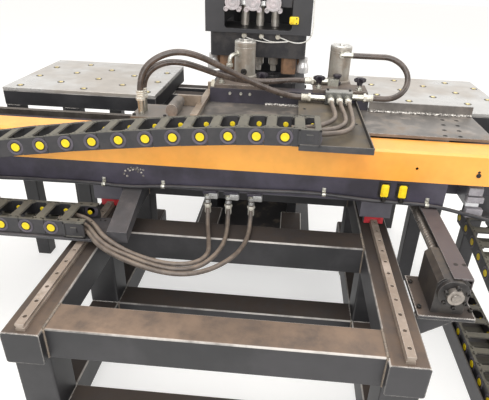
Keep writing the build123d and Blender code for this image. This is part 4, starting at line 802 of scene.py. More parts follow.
@dataclass(frozen=True)
class Studio:
    """Pale floor, soft lamps and the photograph's camera."""

    focal_px: float = 474.18
    frame_px: tuple[int, int] = (489, 400)
    centre_px: tuple[float, float] = (255.05, 203.78)
    eye: Point = (0.1436, -2.2, 1.3295)
    right: Point = (0.99623, 0.07953, 0.03456)
    down: Point = (0.06806, -0.47005, -0.88001)
    forward: Point = (-0.05374, 0.87905, -0.47369)
    sensor: float = 36.0
    floor_reach: float = 14.0
    floor_glow: float = 0.58
    world_level: float = 0.70
    lamps: tuple[Lamp, ...] = (
        Lamp("ceiling_front", (-0.6, -1.8, 4.2), (0, -0.6, 0.6), 3.2, 95.0),
        Lamp("ceiling_back", (0.8, 1.6, 4.4), (0, 0.0, 0.8), 3.0, 80.0),
        Lamp("room_front", (0.2, -4.6, 2.3), (0, -0.6, 0.7), 3.0, 105.0),
        Lamp("window_right", (4.2, -1.2, 2.4), (0, -0.5, 0.6), 2.2, 45.0))

    def camera(self) -> None:
        """Stand the camera where the photograph was taken."""
        data = bpy.data.cameras.new("photo_view")
        data.sensor_fit = "HORIZONTAL"
        data.sensor_width = self.sensor
        wide, high = self.frame_px
        data.lens = self.focal_px / wide * self.sensor
        data.shift_x = (wide / 2 - self.centre_px[0]) / wide
        data.shift_y = (self.centre_px[1] - high / 2) / wide
        data.clip_start = 0.01
        camera = link_object("photo_view", data)
        turn = Matrix((Vector(self.right), -Vector(self.down), -Vector(self.forward))).transposed()
        placed = turn.to_4x4()
        placed.translation = Vector(self.eye)
        camera.matrix_world = placed
        bpy.context.scene.camera = camera

    @staticmethod
    def seen_directly(graph: Graph) -> Socket:
        """One for camera, glossy and transmission rays, nought for light on the object.

        Args:
            graph: Nodes of the floor or the world.

        Returns:
            The choice between both.
        """
        path = graph.tree.nodes.new("ShaderNodeLightPath").outputs
        mirrored = graph.larger(path["Is Camera Ray"], path["Is Glossy Ray"])
        return graph.larger(mirrored, path["Is Transmission Ray"])

    def floor(self) -> None:
        """Lay a pale floor that the camera sees near white."""
        data = bpy.data.meshes.new("studio_floor")
        r = self.floor_reach
        data.from_pydata([(-r, -r, 0), (r, -r, 0), (r, r, 0), (-r, r, 0)], [], [(0, 1, 2, 3)])
        floor = link_object("studio_floor", data)
        material = bpy.data.materials.new("studio_floor")
        material.use_nodes = True
        graph = Graph(material.node_tree)
        shader = graph.tree.nodes["Principled BSDF"]
        shader.inputs["Base Color"].default_value = (0.55, 0.54, 0.52, 1.0)
        shader.inputs["Roughness"].default_value = 0.9
        glow = graph.wire("ShaderNodeEmission", 0, {"Color": (1.0, 0.995, 0.985, 1.0),
                                                    "Strength": self.floor_glow})
        both = graph.wire("ShaderNodeAddShader", 0, {0: shader.outputs[0], 1: glow})
        choice = graph.wire("ShaderNodeMixShader", 0, {
            0: self.seen_directly(graph), 1: shader.outputs[0], 2: both})
        graph.tree.links.new(choice, graph.tree.nodes["Material Output"].inputs["Surface"])
        data.materials.append(material)

    def world(self) -> None:
        """Light the room softly and show it white to the camera."""
        world = bpy.data.worlds.new("studio_world")
        bpy.context.scene.world = world
        world.use_nodes = True
        graph = Graph(world.node_tree)
        back = graph.tree.nodes["Background"]
        back.inputs["Color"].default_value = (0.98, 0.96, 0.94, 1.0)
        back.inputs["Strength"].default_value = self.world_level
        white = graph.wire("ShaderNodeBackground", 0, {"Color": (1.0, 1.0, 1.0, 1.0),
                                                       "Strength": 1.0})
        choice = graph.wire("ShaderNodeMixShader", 0, {
            0: self.seen_directly(graph), 1: back.outputs[0], 2: white})
        graph.tree.links.new(choice, graph.tree.nodes["World Output"].inputs["Surface"])

    def hang_lamps(self) -> None:
        """Hang the soft lamps."""
        for hung in self.lamps:
            data = bpy.data.lights.new(hung.name, "AREA")
            data.shape = "SQUARE"
            data.size = hung.width
            data.energy = hung.power
            lamp = link_object(hung.name, data)
            lamp.location = hung.at
            beam = Vector(hung.aim) - Vector(hung.at)
            lamp.rotation_euler = beam.to_track_quat("-Z", "Y").to_euler()

    def build(self) -> None:
        """Set up floor, lamps, camera and the plain view transform."""
        self.camera()
        self.floor()
        self.world()
        self.hang_lamps()
        bpy.context.scene.view_settings.view_transform = "Standard"


@dataclass(frozen=True)
class HoseRoute:
    """One hose: its route in millimetres, its radius and its real length."""

    name: str
    points: tuple[Point, ...]
    radius: float
    length: float
    sleeve: tuple[bool, bool] = (True, True)


def round_line(name: str, points: Sequence[Point], radius: float, steps: int,
               rim_steps: int) -> bpy.types.Curve:
    """Draw a smooth round line along a route.

    Args:
        name: Name of the curve.
        points: Route in millimetres.
        radius: Radius of the line in millimetres.
        steps: Steps between two points of the route.
        rim_steps: Steps of a quarter of the rim.

    Returns:
        The curve, from the first point to the last.
    """
    data = bpy.data.curves.new(name, "CURVE")
    data.dimensions = "3D"
    line = data.splines.new("NURBS")
    line.points.add(len(points) - 1)
    for knot, point in zip(line.points, points):
        knot.co = (*mm(*point), 1.0)
    line.order_u = 3
    line.use_endpoint_u = True
    line.resolution_u = steps
    data.bevel_depth = radius / 1000
    data.bevel_resolution = rim_steps
    data.use_fill_caps = True
    return data


def draw_hose(route: HoseRoute, finish: Finish) -> bpy.types.Object:
    """Draw one hose as a round smooth curve along its route.

    Args:
        route: The hose.
        finish: Surface finish.

    Returns:
        The hose as a curve object.
    """
    data = round_line(route.name, route.points, route.radius, 10, 5)
    data.materials.append(finish.build())
    return link_object(route.name, data)


@dataclass
class HoseSet:
    """Hoses that leave and end at fittings on one body."""

    node: str
    body: str
    routes: tuple[HoseRoute, ...]
    finish: Finish = HOSE_RUBBER
    sleeve_finish: Finish = FERRULE_CREAM
    slot: str = "hose_rubber"
    sleeve_length: float = 30.0
    sleeve_wall: float = 2.6
    sleeve_from: float = 0.0
    sleeve_rings: int = 4

    def sleeve(self, route: HoseRoute, start: bool) -> bpy.types.Object:
        """Crimped ferrule and hexagon on one end of a hose.

        Args:
            route: The hose.
            start: Whether it is the first end.

        Returns:
            The ferrule.
        """
        ends = route.points if start else route.points[::-1]
        root, nxt = Vector(ends[0]), Vector(ends[1])
        root += (nxt - root).normalized() * self.sleeve_from
        rim = route.radius + self.sleeve_wall
        groove = rim - self.sleeve_wall * 0.55
        long = self.sleeve_length
        outline = [(0, 4), (rim, 4)]
        for k in range(self.sleeve_rings):
            at = 6 + k * (long - 10) / self.sleeve_rings
            outline += [(rim, at), (groove, at + 1.6), (groove, at + 3.4), (rim, at + 5)]
        outline += [(rim, long - 3), (route.radius + self.sleeve_wall * 0.6, long), (0, long)]
        place = standing(root, nxt - root)
        solid = Solid().lathe(outline, 24, place)
        solid.prism(hexagon((rim + 1.6) / 0.93), 0, 9, 0.8, place)
        return solid.object(f"{route.name}_ferrule_{'a' if start else 'b'}", self.sleeve_finish)

    def build(self) -> None:
        for route in self.routes:
            hose = draw_hose(route, self.finish)
            ends = [self.sleeve(route, start) for start, wanted in zip((True, False), route.sleeve)
                    if wanted]
            for piece in ends:
                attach(piece, self.body)
            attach(hose, self.body)
            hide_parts(self.node)
            log.info("hose %s", route.name)


SUPPLY = HoseSet("supply_hoses", "y_carriage", (
    HoseRoute("supply_hose_a", (
        (-105, -785, 580), (-105, -785, 545), (-103, -803, 514), (-98, -834, 496),
        (-88, -880, 492), (-77, -935, 492), (-70, -985, 492), (-82, -1028, 493),
        (-116, -1058, 495), (-165, -1068, 497), (-225, -1064, 502), (-300, -1046, 512),
        (-352, -1026, 526), (-396, -1004, 540), (-430, -968, 552), (-480, -926, 556),
        (-548, -914, 556)), 7.4, 826, (True, False)),
    HoseRoute("supply_hose_b", (
        (-34, -785, 580), (-34, -785, 545), (-33, -803, 514), (-31, -834, 496),
        (-29, -880, 492), (-31, -935, 492), (-45, -990, 492), (-68, -1042, 492),
        (-104, -1078, 493), (-155, -1092, 496), (-220, -1086, 501), (-295, -1064, 511),
        (-362, -1042, 522), (-406, -1016, 534), (-448, -972, 546), (-498, -942, 548),
        (-560, -938, 548)), 7.4, 870, (True, False)),
    HoseRoute("supply_hose_c", (
        (44, -785, 580), (44, -785, 545), (44, -803, 514), (44, -834, 496), (42, -880, 492),
        (34, -935, 492), (14, -990, 492), (-20, -1042, 492), (-65, -1084, 492),
        (-120, -1109, 494), (-185, -1112, 498), (-260, -1096, 505), (-335, -1070, 514),
        (-404, -1032, 524), (-446, -984, 536), (-498, -960, 541), (-585, -957, 541)),
        7.4, 956, (True, False)),
), SUPPLY_RUBBER, sleeve_length=36.0, sleeve_wall=3.6, sleeve_from=22.0)
CLAMP = HoseSet("clamp_hoses", "x_carriage", (
    HoseRoute("clamp_hose_a", (
        (-347, -672, 870), (-347, -672, 922), (-330, -661, 975), (-286, -647, 1010),
        (-228, -630, 1027), (-165, -612, 1015), (-95, -588, 979), (-30, -562, 942),
        (34, -532, 908), (96, -500, 878), (148, -480, 860), (188, -480, 858),
        (226, -480, 858)), 10.5, 744),
    HoseRoute("clamp_hose_b", (
        (-347, -636, 870), (-347, -636, 915), (-326, -624, 958), (-280, -610, 984),
        (-222, -596, 986), (-160, -578, 966), (-95, -552, 938), (-28, -518, 917),
        (38, -476, 905), (98, -428, 898), (150, -386, 894), (196, -372, 893),
        (238, -372, 893)), 10.5, 738),
    HoseRoute("clamp_hose_c", (
        (375, -356, 990), (467, -356, 990), (513, -356, 990), (553, -372, 973),
        (576, -400, 945), (576, -432, 911), (553, -460, 883), (513, -476, 866),
        (461, -476, 866), (415.6, -476, 866)), 10.5, 461, (False, True)),
), sleeve_length=34.0, sleeve_wall=3.0)
CHAIN_END = HoseSet("chain_end_hoses", "x_carriage", (
    HoseRoute("chain_end_hose_a", (
        (296, -532, 866), (296, -580, 866), (298, -640, 867),
        (300, -700, 868), (294, -756, 869), (270, -802, 870),
        (232, -838, 870), (194, -857, 870), (160, -862, 870)), 7.6, 404, (True, False)),
    HoseRoute("chain_end_hose_b", (
        (326, -532, 866), (326, -590, 866), (328, -660, 867),
        (330, -725, 868), (326, -785, 869), (304, -836, 870),
        (262, -868, 870), (212, -883, 870), (160, -885, 870)), 7.6, 463, (True, False)),
    HoseRoute("chain_end_hose_c", (
        (356, -532, 866), (356, -600, 866), (354, -672, 867),
        (351, -740, 868), (346, -806, 869), (326, -860, 870),
        (284, -893, 870), (228, -907, 870), (160, -908, 870)), 7.6, 508, (True, False)),
), SUPPLY_RUBBER)


class Strand(Enum):
    """The three stretches of a drag chain."""

    UPPER = "upper"
    BEND = "bend"
    LOWER = "lower"


@dataclass
class DragChain:
    """Moulded drag chain: side plates, bridging bars and snap pins on a line of pivots."""

    name: str
    pivots: tuple[Point, ...]
    across: Point
    upper_end: int
    bend_end: int
    mover: str
    bend_body: str
    anchor_body: str
    feed: str
    squash_axis: Point
    keep: float
    pitch: float = 80.0
    height: float = 54.0
    half_width: float = 60.0
    plate: float = 5.0
    bar_length: float = 30.0
    bar_drop: float = 7.0
    step_in: float = 6.0
    seam_back: float = 20.0

    @property
    def reach(self) -> float:
        """Half the height of a side plate."""
        return self.height / 2 - 0.5

    def face(self, side: int) -> Matrix:
        """Place at the pivot on a side plate's outer face, a little below the surface."""
        return standing((0, side * (self.half_width - 0.5), 0), (0, side, 0), RIGHT)

    def strand(self, link: int) -> Strand:
        """Which stretch a link belongs to.

        Args:
            link: Number of the link from the moving end.

        Returns:
            Its stretch.
        """
        if link < self.upper_end:
            return Strand.UPPER
        return Strand.BEND if link < self.bend_end else Strand.LOWER

    def frame(self, link: int) -> Matrix:
        """Place of one link: X to the next pivot, Y across the chain.

        Args:
            link: Number of the link.

        Returns:
            The placing matrix.
        """
        a, b = Vector(mm(*self.pivots[link])), Vector(mm(*self.pivots[link + 1]))
        x = (b - a).normalized()
        y = Vector(self.across)
        y = (y - x * y.dot(x)).normalized()
        z = x.cross(y)
        place = Matrix((x, y, z)).transposed().to_4x4()
        place.translation = a
        return place

    def side_outline(self, reach: float) -> Outline:
        """Side plate seen from the side: two round heads with a slight waist between.

        Args:
            reach: Radius of the heads.

        Returns:
            Corners in order.
        """
        points: Outline = []
        for centre, start, waist in ((self.pitch, -90, 0.97), (0, 90, -0.97)):
            for k in range(13):
                turn = math.radians(start + 15 * k)
                points.append((centre + reach * math.cos(turn), reach * math.sin(turn)))
            points.append((self.pitch / 2, reach * waist))
        return points

    def bars(self, solid: Solid, far: float) -> None:
        """Add the top and bottom bars of a link with their flared feet.

        Args:
            solid: The link that is being built.
            far: Half the width over the side plates.
        """
        middle, half, reach = self.pitch / 2, self.bar_length / 2, self.reach
        for up in (-1, 1):
            low, high = sorted((up * (reach + 0.4), up * (reach - self.bar_drop)))
            solid.slab((middle - half, 1 - far, low), (middle + half, far - 1, high), 2.2)
            low, high = sorted((up * (reach + 0.2), up * (reach - self.bar_drop)))
            for side in (-1, 1):
                for wide, deep in ((10, 13), (5, 20)):
                    near, away = sorted((side * (far - 2), side * (far - deep)))
                    solid.slab((middle - half - wide, near, low),
                               (middle + half + wide, away, high), 1.8)

    def bend_link(self, outer: bool) -> bpy.types.Object:
        """One link of the bend: outer links carry the rims, inner links sit between.

        Args:
            outer: Whether it is an outer link.

        Returns:
            The link round the origin.
        """
        solid = Solid()
        far = self.half_width - (0 if outer else self.step_in)
        lie = Matrix.Rotation(math.radians(90), 4, "X")
        for side in (-1, 1):
            low, high = sorted((side * far, side * (far - self.plate)))
            solid.prism(self.side_outline(self.reach), -high, -low, 1.2, lie)
        self.bars(solid, far)
        return solid.object("link_pattern", CHAIN_PLASTIC)

    def straight_link(self) -> bpy.types.Object:
        """One link of a straight stretch: flush side plates that meet in upright seams.

        Returns:
            The link round the origin.
        """
        solid = Solid()
        reach, far, plate = self.reach, self.half_width, self.plate
        back, ahead = -self.seam_back, self.pitch - self.seam_back
        for side in (-1, 1):
            near, away = sorted((side * far, side * (far - plate)))
            solid.slab((back + 0.5, near, -reach), (ahead - 0.5, away, reach), 0.9)
            low, high = sorted((side * (far - plate), side * (far - 2 * plate)))
            solid.slab((back + 1, low, 1 - reach), (ahead, high, reach - 1), 0.8)
        self.bars(solid, far)
        return solid.object("link_pattern", CHAIN_PLASTIC)

    def boss(self) -> bpy.types.Object:
        """Raised ring round a pin's painted-shade recess disc, on both sides of the chain, in the
        link's plastic painted lighter as a painted highlight.

        Returns:
            The rings of one pivot.
        """
        solid = Solid()
        for side in (-1, 1):
            solid.lathe([(0, 0), (23.6, 0), (23.6, 1.2), (22.6, 2), (20.4, 2), (19.6, 1),
                         (0, 1)], 36, self.face(side))
        return solid.object("boss_pattern", CHAIN_RING_HIGHLIGHT)

    def recess(self) -> bpy.types.Object:
        """Painted shade: a near-black disc round each pin for the shade of its recess, and small
        near-black discs for the shade inside the screw holes at the feet of the bars.

        Returns:
            The painted-shade discs of one link.
        """
        solid = Solid()
        for side in (-1, 1):
            solid.lathe(disc(16.2, 0.8, 1.4), 28, self.face(side))
            for along in (-8, 8):
                for up in (-1, 1):
                    place = standing((self.pitch / 2 + along, side * (self.half_width - 10),
                                      up * (self.reach - 0.1)), (0, 0, up), RIGHT)
                    solid.lathe(disc(2.8, 0, 0.8), 10, place)
        return solid.object("recess_pattern", CHAIN_RECESS_SHADE)

    def pin(self) -> bpy.types.Object:
        """Bright snap pin on both sides of the chain, with its ends inside the chain.

        Returns:
            The pins of one pivot.
        """
        solid = Solid()
        inside = self.half_width - 2 * self.plate
        for side in (-1, 1):
            solid.lathe([(0, 0), (12.6, 0), (12.6, 1.6), (11.6, 2.8), (5.4, 2.1), (0, 2.1)],
                        26, self.face(side))
            place = standing((0, side * inside, 0), (0, -side, 0), RIGHT)
            solid.lathe([(0, -0.5), (8, -0.5), (8, 1.8), (6.6, 2.8), (0, 2.8)], 20, place)
        return solid.object("pin_pattern", CHAIN_PIN)

    def tie(self, piece: bpy.types.Object, strand: Strand) -> None:
        """Tie a stretch's piece to a body: the upper stretch to the moving carriage, the bend to
        the bend's own body; the lower stretch is baked where it lies.

        Args:
            piece: Links, rings or pins of the stretch.
            strand: The stretch.
        """
        if strand is Strand.UPPER:
            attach(piece, self.mover)
            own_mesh(piece)
        elif strand is Strand.BEND:
            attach(piece, self.bend_body)
        else:
            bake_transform(piece)

    def build(self) -> None:
        """Stand the links and pins of the three stretches."""
        for strand in Strand:
            links = [k for k in range(len(self.pivots) - 1) if self.strand(k) is strand]
            outer = [self.frame(k) for k in links if k % 2 == 0]
            inner = [self.frame(k) for k in links if k % 2 == 1]
            pivots = [self.frame(k) for k in links]
            if strand is Strand.LOWER:
                last = self.frame(links[-1])
                last.translation = Vector(mm(*self.pivots[-1]))
                pivots.append(last)
            stem = f"{self.name}_{strand.value}"
            if strand is Strand.BEND:
                bodies = [("outer_links", outer, self.bend_link(True)),
                          ("inner_links", inner, self.bend_link(False))]
            else:
                bodies = [("links", outer + inner, self.straight_link())]
            # The boss rings carry a painted highlight and the recess discs paint the shade round
            # each pin.
            trim = [("bosses", CHAIN_RING_HIGHLIGHT, self.boss()), ("recesses", CHAIN_RECESS_SHADE, self.recess()),
                    ("pins", CHAIN_PIN, self.pin())]
            pieces = [Repeat(f"{stem}_{kind}", CHAIN_PLASTIC, places).make(pattern)
                      for kind, places, pattern in bodies]
            pieces += [Repeat(f"{stem}_{kind}", finish, pivots).make(pattern)
                       for kind, finish, pattern in trim]
            for piece in pieces:
                self.tie(piece, strand)
                if piece.name.endswith("links"):
                    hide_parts(stem)
            log.info("chain stretch %s with %d links", stem, len(links))


X_CHAIN = DragChain(
    "x_chain",
    tuple([(x, -884.5, z)
           for x, z in ((223, 870), (143, 870), (63, 867), (-17, 862), (-97, 855), (-176, 848),
                        (-256, 839), (-335, 830), (-415, 820), (-494, 810), (-573, 798),
                        (-652, 787))]
          + [(-731, -888, 774), (-810, -898, 762), (-888, -908, 749), (-966, -918, 735),
             (-1041, -928, 709), (-1074, -937, 637), (-1036, -937, 566), (-958, -937, 549)]
          + [(-878 + 80 * k, -937.5, 549) for k in range(6)]),
    (0, 1, 0), 15, 20, "x_carriage", "x_chain_bend", "y_carriage", "x_feed", (1, 0, 0), 0.44)
Y_CHAIN = DragChain(
    "y_chain",
    tuple([(910, y, z) for y, z in ((-520, 424), (-600, 424), (-679, 414), (-758, 402),
                                    (-837, 389), (-916, 376), (-995, 363), (-1074, 349),
                                    (-1150, 324), (-1202, 263), (-1210, 184), (-1172, 114),
                                    (-1101, 76))]
          + [(910, -1021 + 80 * k, 74) for k in range(8)]),
    (1, 0, 0), 7, 12, "y_carriage", "y_chain_bend", "base", "y_feed", (0, 1, 0), 0.5)


@dataclass
class BallScrew:
    """Ground ball screw with a true helical groove between plain journals."""

    node: str
    body: str
    axis: str
    centre: tuple[float, float]
    plain: tuple[tuple[float, float, float], ...]
    thread: tuple[float, float]
    radius: float
    pitch: float = 20.0
    depth: float = 2.2
    rings_a_turn: int = 12
    segments: int = 20
    groove_half: float = 0.24

    def place(self) -> Matrix:
        """Turn the local Z along the screw's axis.

        Returns:
            The placing matrix.
        """
        if self.axis == "X":
            return standing((0, *self.centre), RIGHT, UP)
        x, z = self.centre
        return standing((x, 0, z), (0, 1, 0), UP)

    def build(self) -> None:
        """Make the threaded length and the journals as one closed mesh each."""
        solid = Solid()
        part = bmesh.new()
        start, end = mm(*self.thread)
        pitch = self.pitch / 1000
        count = int((end - start) / pitch * self.rings_a_turn)
        rings = []
        for k in range(count + 1):
            z = start + (end - start) * k / count
            ring = []
            for s in range(self.segments):
                phase = (z / pitch - s / self.segments) % 1.0
                off = abs(phase - 0.5) / self.groove_half
                dip = math.sqrt(1.0 - off * off) if off < 1.0 else 0.0
                r = (self.radius - self.depth * dip) / 1000
                turn = 2 * math.pi * s / self.segments
                ring.append(part.verts.new((r * math.cos(turn), r * math.sin(turn), z)))
            rings.append(ring)
        for lower, upper in zip(rings, rings[1:]):
            for s in range(self.segments):
                n = (s + 1) % self.segments
                part.faces.new((lower[s], lower[n], upper[n], upper[s]))
        part.faces.new(list(reversed(rings[0])))
        part.faces.new(rings[-1])
        place = self.place()
        part.transform(place)
        solid.take(part)
        for low, high, radius in self.plain:
            solid.lathe([(0, low), (radius - 1, low), (radius, low + 1), (radius, high - 1),
                         (radius - 1, high), (0, high)], 32, place)
        piece = solid.object(f"{self.node}_threaded", SCREW_STEEL)
        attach(piece, self.body)
        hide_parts(self.node)
        log.info("screw %s", self.node)


def bent_tube(name: str, points: Sequence[Point], radius: float,
              finish: Finish) -> bpy.types.Object:
    """Smooth round tube through given points, kept as a mesh.

    Args:
        name: Object name.
        points: Route in millimetres.
        radius: Tube radius in millimetres.
        finish: Surface finish.

    Returns:
        The tube as a mesh object.
    """
    holder = link_object(name + "_line", round_line(name + "_line", points, radius, 6, 4))
    seen = holder.evaluated_get(bpy.context.evaluated_depsgraph_get())
    mesh = bpy.data.meshes.new_from_object(seen)
    bpy.data.objects.remove(holder)
    mesh.name = name
    mesh.materials.clear()
    mesh.materials.append(finish.build())
    mesh.shade_smooth()
    return link_object(name, mesh)


def fasten(piece: bpy.types.Object, body: str) -> None:
    """Tie a piece to its body.

    Args:
        piece: The piece.
        body: Body that carries it.
    """
    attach(piece, body)
    log.info("piece %s on %s", piece.name, body)


def stand_pieces(name: str, solid: Solid, finish: Finish, places: list[Matrix], body: str,
                 size: float = 1.0) -> None:
    """Stand one small piece at many places of a body.

    Args:
        name: Name of the whole set.
        solid: The small piece round the origin.
        finish: Surface finish.
        places: Where the copies stand.
        body: Body that carries them.
        size: Scale of each copy.
    """
    pattern = solid.object(f"{name}_pattern", finish)
    fasten(Repeat(name, finish, places).make(pattern, size), body)


class Head(Enum):
    """Heads of the machine's screws."""

    SOCKET = "socket"
    FLAT = "flat"


@dataclass
class ScrewSet:
    """Screws of one size on one body, stood by the Geometry Nodes tree."""

    name: str
    body: str
    head: Head
    radius: float
    places: Places
    finish: Finish = BOLT_BLACK
    slot: str = "tool_steel"

    def pattern(self) -> Solid:
        """One screw head round the origin.

        Returns:
            The head, its underside a little below the floor.
        """
        r = self.radius
        solid = Solid()
        if self.head is Head.SOCKET:
            h, s = r * 1.25, r * 0.52
            solid.lathe([(0, -0.4), (r, -0.4), (r, h * 0.86), (r * 0.9, h), (s * 1.12, h),
                         (s, h * 0.93), (s, h * 0.42), (0, h * 0.36)], 18)
        else:
            solid.lathe([(0, -0.4), (r, -0.4), (r, r * 0.12), (r * 0.86, r * 0.3),
                         (r * 0.42, r * 0.34), (r * 0.38, r * 0.1), (0, r * 0.08)], 16)
        return solid

    def build(self) -> None:
        """Stand all screws of the set."""
        places = [standing(at, towards, (0, 0, 1) if abs(towards[2]) < 0.5 else (0, 1, 0))
                  for at, towards in self.places]
        stand_pieces(self.name, self.pattern(), self.finish, places, self.body)


def grid(xs: Sequence[float], ys: Sequence[float], zs: Sequence[float],
         towards: Point) -> Places:
    """Places at every crossing of three lists of millimetres."""
    return [((x, y, z), towards) for x in xs for y in ys for z in zs]


def ring_places(centre: Point, radius: float, count: int, towards: Point,
                start: float = 45.0) -> Places:
    """Places on a circle that faces to the front or up.

    Args:
        centre: Centre of the circle, in millimetres.
        radius: Its radius, in millimetres.
        count: Number of places.
        towards: The axis.
        start: Angle of the first place, in degrees.

    Returns:
        Places with their direction.
    """
    found = []
    for k in range(count):
        a = math.radians(start + 360.0 * k / count)
        c, s = radius * math.cos(a), radius * math.sin(a)
        if abs(towards[1]) > 0.5:
            found.append(((centre[0] + c, centre[1], centre[2] + s), towards))
        else:
            found.append(((centre[0] + c, centre[1] + s, centre[2]), towards))
    return found


SCREWS: tuple[ScrewSet, ...] = (
    ScrewSet("clamp_flange_screws", "x_carriage", Head.SOCKET, 6.5,
             grid((-112, 44, 257, 413), (-366,), (880,), UP)),
    ScrewSet("manifold_screws", "x_carriage", Head.SOCKET, 5.0,
             grid((286, 366), (-478,), (888,), UP)),
    ScrewSet("clamp_rail_screws", "x_carriage", Head.SOCKET, 5.5,
             grid((-74, -33, 1, 120, 175, 232), (-447,), (849,), FRONT), ZINC, "zinc"),
    ScrewSet("tray_screws", "x_carriage", Head.FLAT, 5.5,
             grid((205, 370), (-925, -700, -560), (838,), UP)),
    ScrewSet("gauge_screws", "x_carriage", Head.SOCKET, 5.5,
             grid((-366, -262), (-694, -572), (824,), UP)),
    ScrewSet("bearing_cap_screws", "base", Head.SOCKET, 6.0,
             ring_places((602, -1214, 567), 31, 6, FRONT, 30)),
    ScrewSet("bearing_foot_screws", "base", Head.SOCKET, 6.5,
             grid((534, 670), (-1170, -1060), (492,), UP)),
    ScrewSet("rib_screws", "y_carriage", Head.SOCKET, 5.0,
             grid((-1480, 960), (-680, -525), (750,), UP)),
    ScrewSet("die_holder_screws", "base", Head.SOCKET, 7.0,
             grid((-155, 155), (-84, 84), (812,), UP)),
    ScrewSet("cylinder_foot_screws", "base", Head.SOCKET, 9.0,
             ring_places((0, 0, 1435), 148, 8, UP, 22.5)),
    ScrewSet("press_side_screws", "base", Head.SOCKET, 9.0,
             [((220, y, z), RIGHT) for y in (-60, 60, 180) for z in (590, 730)]
             + [((-220, y, z), LEFT) for y in (-60, 60, 180) for z in (590, 730)]),
)


@dataclass
class SheetTable:
    """Ball transfers and plugs set in the two sheet tables."""

    top: float = 805.0
    columns: tuple[tuple[float, tuple[float, ...]], ...] = (
        (-950, (-342, -176, -8)), (-817, (-260, -94, 72)), (-685, (-342, -178, -10)),
        (-553, (-256, -92, 74)), (-423, (-342, -176, -8)),
        (516, (-342, -186, -16)), (635, (-257, -84, 86)), (752, (-342, -173, 6)),
        (871, (-254, -85, 90)), (978, (-342, -173, 8)))

    def build(self) -> None:
        """Stand a dark ring and a low brass dome at every place."""
        places = [standing((x, y, self.top)) for x, ys in self.columns for y in ys]
        ring = Solid().lathe([(0, -1), (15, -1), (15, 0.5), (14, 1), (11.2, 1), (10.6, 0.4),
                              (0, 0.4)], 24)
        stand_pieces("table_unit_rings", ring, BOLT_BLACK, places, "base")
        dome = Solid().lathe([(0, 0), (10.2, 0), (10, 1.4), (8.6, 2.7), (5.8, 3.6), (0, 4)], 20)
        stand_pieces("table_unit_domes", dome, BRASS, places, "base")


